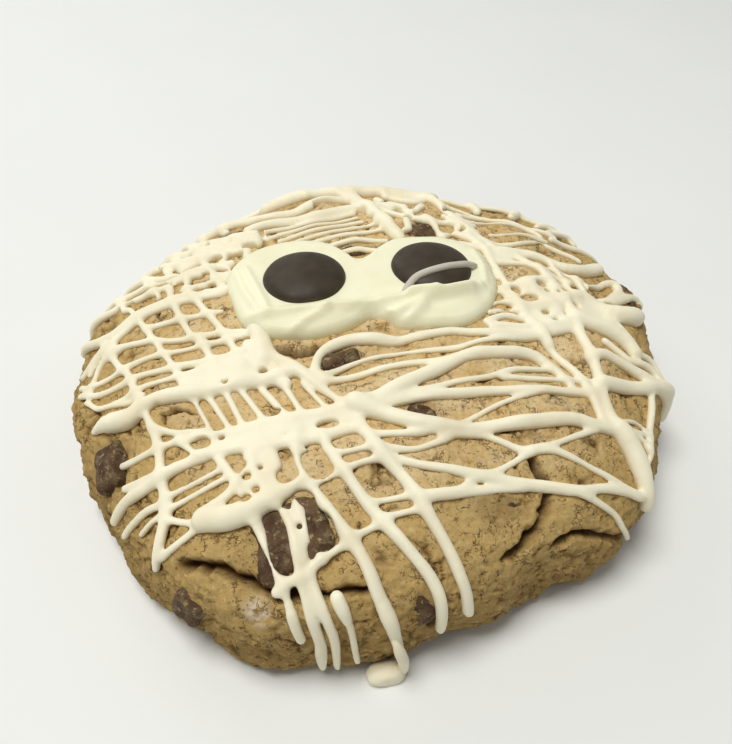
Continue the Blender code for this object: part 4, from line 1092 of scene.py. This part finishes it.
def make_drizzle(material):
    field = Field()
    for seed, (radius, line) in enumerate(all_strands()):
        field.add_strand(line, radius, seed)
    for pool in POOLS:
        field.add_pool(*pool)
    level = field.level()
    origin = (-GRID_REACH, -GRID_REACH, GRID_LOW)
    points, quads = skin_of(level, origin, (GRID_STEP, GRID_STEP, GRID_RISE))
    points = relax(points, quads, 3, 0.5)
    uv, rise = points[:, :2], points[:, 2]
    places = lift_off(uv, rise + lumps(uv))
    places[:, 2] = np.maximum(places[:, 2], DRIZZLE_FOOT)
    mesh = new_mesh("drizzle", places, quads.tolist())
    set_attribute(mesh, "thin", np.clip((THIN_RISE - rise) / THIN_FADE, 0, 1))
    add_piece("drizzle_net", mesh, material, "icing", "cookie")


def tube_mesh(name, places, radii, sides=20):
    """A round strand through the given points, closed at both ends."""
    directions = np.gradient(places, axis=0)
    directions /= np.linalg.norm(directions, axis=1, keepdims=True)
    side = np.cross(directions[0], (0.0, 0.0, 1.0))
    turns = np.arange(sides) * math.tau / sides
    rings = []
    for place, direction, radius in zip(places, directions, radii):
        side = side - direction * (side @ direction)
        side /= np.linalg.norm(side)
        other = np.cross(direction, side)
        rings.append(place + radius * (np.outer(np.cos(turns), side) + np.outer(np.sin(turns), other)))
    points = np.concatenate([*rings, places[[0, -1]]])
    first_end, last_end = len(points) - 2, len(points) - 1
    last_ring = (len(rings) - 1) * sides
    faces = []
    for index in range(sides):
        after = (index + 1) % sides
        for ring in range(0, last_ring, sides):
            faces.append((ring + index, ring + after, ring + after + sides, ring + index + sides))
        faces.append((first_end, after, index))
        faces.append((last_end, last_ring + index, last_ring + after))
    return new_mesh(name, points, faces)


def round_ends(count, radius):
    """Radii along a strand that close it with round ends."""
    share = np.minimum(np.arange(count), np.arange(count)[::-1]) / 3.0
    return radius * np.sqrt(np.clip(1 - (1 - np.clip(share, 0.12, 1)) ** 2, 0.05, 1))


def boxiness(direction, power):
    """What takes a point of the unit sphere to a rounded box: power 2 leaves it there, more is boxier."""
    return sum(abs(part) ** power for part in direction) ** (-1 / power)


def make_fallen_drip(material):
    places = smooth_points(FALL, FALL_STEP)
    swelling = np.clip(np.arange(len(places)) * FALL_STEP / FALL_TAPER, 0, 1)
    mesh = tube_mesh("drizzle_fall", places, FALL_RADIUS * (0.5 + 0.55 * swelling))
    add_piece("drizzle_fall", mesh, material, "icing", "cookie")


def make_drop(material):
    shape = bmesh.new()
    bmesh.ops.create_icosphere(shape, subdivisions=6, radius=1)
    for vert in shape.verts:
        bulge = (1 + 0.08 * noise.noise(vert.co * 1.5)) * boxiness(vert.co, DROP_POWER)
        place = Vector([part * size * bulge for part, size in zip(vert.co, DROP_SIZE)]) + Vector(DROP_PLACE)
        place.z = max(place.z, 0)
        vert.co = (place + Vector(SHIFT)) * MM
    add_piece("drizzle_drop", mesh_of(shape, "drizzle_drop"), material, "icing", "cookie")


# The icing mask

def mask_height(uv, edge_distance):
    """A low rounded border that climbs to the full height further in, with the ridges of the piping."""
    rise = np.sqrt(1 - (1 - np.minimum(edge_distance / MASK_EDGE, 1)) ** 2)
    climb = np.minimum(edge_distance / MASK_SLOPE, 1)
    climb = climb * climb * (3 - 2 * climb)
    height = rise * (MASK_BORDER_HEIGHT + (MASK_HEIGHT - MASK_BORDER_HEIGHT) * climb)
    for tall, half_width, line in MASK_RIDGES:
        height += rise * tall * np.exp(-((distance_to_line(uv, line) / half_width) ** 2))
    return height + rise * MASK_UNEVEN * swell_noise(crust_points(uv), 5.0, 41)


def scallops(outline):
    """How far out the right border's scallops reach."""
    v = outline[:, 1]
    share = np.clip(np.minimum(v - SCALLOP_LOW, SCALLOP_HIGH - v) / 2, 0, 1) * (outline[:, 0] > 10)
    return SCALLOP_DEPTH * share * np.abs(np.sin(math.pi * v / SCALLOP_STEP))


def make_mask(material):
    outline = smooth_points(MASK_OUTLINE, MASK_STEP, closed=True)
    outline[:, 0] += scallops(outline)
    middle = np.array(MASK_MIDDLE)
    shape = bmesh.new()
    bmesh.ops.create_uvsphere(shape, u_segments=len(outline), v_segments=150, radius=1)
    mesh = mesh_of(shape, "icing_mask_piped")
    directions = read_points(mesh)
    polar = np.arccos(np.clip(directions[:, 2], -1, 1))
    turn = np.arctan2(directions[:, 1], directions[:, 0]) % math.tau
    edge = outline[(turn / math.tau * len(outline)).round().astype(int) % len(outline)] - middle
    length = np.linalg.norm(edge, axis=1)
    share = np.sin(polar)
    uv = middle + edge * share[:, None]
    top = polar < math.pi / 2 + 1e-4
    height = np.where(top, mask_height(uv, length * (1 - share)), -MASK_SINK)
    set_points(mesh, lift_off(uv, height))
    set_attribute(mesh, "thin", np.zeros(len(uv)))
    add_piece("icing_mask_piped", mesh, material, "icing", "icing_mask")


def eye_surface(uv):
    """Heights of the right eye, and of the mask round it."""
    reach = np.linalg.norm(uv - EYE_PLACES["eye_right"], axis=1) / EYE_RADIUS
    lens = EYE_LIFT + EYE_HALF_THICKNESS * np.sqrt(np.clip(1 - reach**2, 0, 1))
    return np.where(reach < 1, np.maximum(lens, MASK_HEIGHT), MASK_HEIGHT)


def make_eye_strand(material):
    uv = smooth_points(EYE_STRAND, 0.5)
    surface = np.convolve(np.pad(eye_surface(uv), 2, mode="edge"), np.full(5, 0.2), "valid")
    places = lift_off(uv, surface + 0.35 * EYE_STRAND_RADIUS)
    mesh = tube_mesh("icing_strand_over_eye", places, round_ends(len(places), EYE_STRAND_RADIUS))
    set_attribute(mesh, "thin", np.zeros(len(mesh.vertices)))
    add_piece("icing_strand_over_eye", mesh, material, "icing", "icing_mask")


# Eyes and chunks

def seat_matrix(place, lift, turn=0.0):
    """Stands a shape on the crust at a place, upright to it."""
    uv = np.array([place], float)
    axes = [Vector(axis[0]) for axis in crust_axes(uv)]
    turned = Matrix(axes).transposed() @ Matrix.Rotation(math.radians(turn), 3, "Z")
    spot = (lift_off(uv, lift)[0] + SHIFT) * MM
    return Matrix.Translation(spot) @ turned.to_4x4()


def make_eyes():
    material = candy_material()
    for name, place in EYE_PLACES.items():
        shape = bmesh.new()
        bmesh.ops.create_uvsphere(shape, u_segments=128, v_segments=64, radius=1)
        for vert in shape.verts:
            flat = math.hypot(vert.co.x, vert.co.y)
            bulge = math.copysign(max(0.0, 1 - flat**EYE_POWER) ** 0.5, vert.co.z)
            dent = 1 + 0.006 * noise.noise(vert.co * 2.2)
            vert.co = Vector((
                vert.co.x * EYE_RADIUS * dent,
                vert.co.y * EYE_RADIUS * dent,
                bulge * EYE_HALF_THICKNESS,
            )) * MM
        shape.transform(seat_matrix(place, EYE_LIFT))
        add_piece("candy_" + name, mesh_of(shape, "candy_" + name), material, "candy", name)


def make_chunks():
    material = chocolate_material()
    for number, (place, half_sizes, turn, sunk) in enumerate(CHUNKS):
        shape = bmesh.new()
        bmesh.ops.create_icosphere(shape, subdivisions=5, radius=1)
        for vert in shape.verts:
            reach = boxiness(vert.co, CHUNK_POWER)
            rough = 1 + sum(
                tall * noise.noise(vert.co * fineness + Vector((number * apart, aside, 0)))
                for tall, fineness, (apart, aside) in CHUNK_WAVES
            )
            vert.co = Vector([part * reach * rough * half * MM for part, half in zip(vert.co, half_sizes)])
        shape.transform(seat_matrix(place, -sunk, turn))
        name = f"chocolate_{number + 1}"
        add_piece(name, mesh_of(shape, name), material, "chocolate", f"chocolate_chunk_{number + 1}")


# Camera, floor and light

def view_axes():
    back = Vector((
        math.sin(AZIMUTH) * math.cos(ELEVATION),
        -math.cos(AZIMUTH) * math.cos(ELEVATION),
        math.sin(ELEVATION),
    ))
    level = Vector((0, 0, 1)).cross(back).normalized()
    rise = back.cross(level)
    right = math.cos(ROLL) * level + math.sin(ROLL) * rise
    return right, back.cross(right), back


def make_camera():
    right, up, back = view_axes()
    aside = (TARGET_PIXEL[0] - PICTURE_WIDTH / 2) * DISTANCE / FOCAL_PIXELS
    above = (PICTURE_HEIGHT / 2 - TARGET_PIXEL[1]) * DISTANCE / FOCAL_PIXELS
    place = Vector(TARGET) + back * DISTANCE - right * aside - up * above + Vector(SHIFT)
    data = bpy.data.cameras.new("camera")
    data.sensor_width = 36.0
    data.lens = data.sensor_width * FOCAL_PIXELS / PICTURE_HEIGHT
    data.clip_start = 0.005
    camera = bpy.data.objects.new("camera", data)
    camera.matrix_world = Matrix.Translation(place * MM) @ Matrix((right, up, back)).transposed().to_4x4()
    bpy.context.scene.collection.objects.link(camera)
    bpy.context.scene.camera = camera


def make_floor():
    shape = bmesh.new()
    bmesh.ops.create_grid(shape, x_segments=1, y_segments=1, size=3.0)
    mesh = mesh_of(shape, "floor")
    nodes = Nodes("floor", 0.7)
    colour = nodes.mix(nodes.noise(40.0, 2.0), srgb(234, 236, 233), srgb(238, 240, 237))
    mesh.materials.append(nodes.finish(colour, nodes.bump(nodes.noise(2.0, 2.0), 0.05, 0.1)))
    floor = bpy.data.objects.new("floor", mesh)
    bpy.context.scene.collection.objects.link(floor)


def add_light(name, place, size, watts, colour):
    data = bpy.data.lights.new(name, "AREA")
    data.shape = "DISK"
    data.size = size
    data.energy = watts
    data.color = colour
    light = bpy.data.objects.new(name, data)
    light.location = place
    light.rotation_euler = (-Vector(place)).to_track_quat("-Z", "Y").to_euler()
    bpy.context.scene.collection.objects.link(light)


def make_light():
    world = bpy.data.worlds.new("studio")
    world.use_nodes = True
    background = world.node_tree.nodes["Background"]
    background.inputs["Color"].default_value = (1.0, 1.0, 1.0, 1)
    background.inputs["Strength"].default_value = WORLD_STRENGTH
    bpy.context.scene.world = world
    bpy.context.scene.view_settings.view_transform = "Standard"
    for name, settings in LIGHTS.items():
        add_light(name, *settings)


def main():
    make_camera()
    make_floor()
    make_light()
    drizzle_icing = icing_material("drizzle_icing", srgb(248, 241, 214), srgb(240, 231, 201))
    mask_icing = icing_material("mask_icing", srgb(246, 244, 212), srgb(240, 236, 200))
    make_dough()
    make_drizzle(drizzle_icing)
    make_fallen_drip(drizzle_icing)
    make_drop(drizzle_icing)
    make_mask(mask_icing)
    make_eye_strand(icing_material("thin_icing", srgb(200, 195, 182), srgb(190, 186, 176)))
    make_eyes()
    make_chunks()


main()
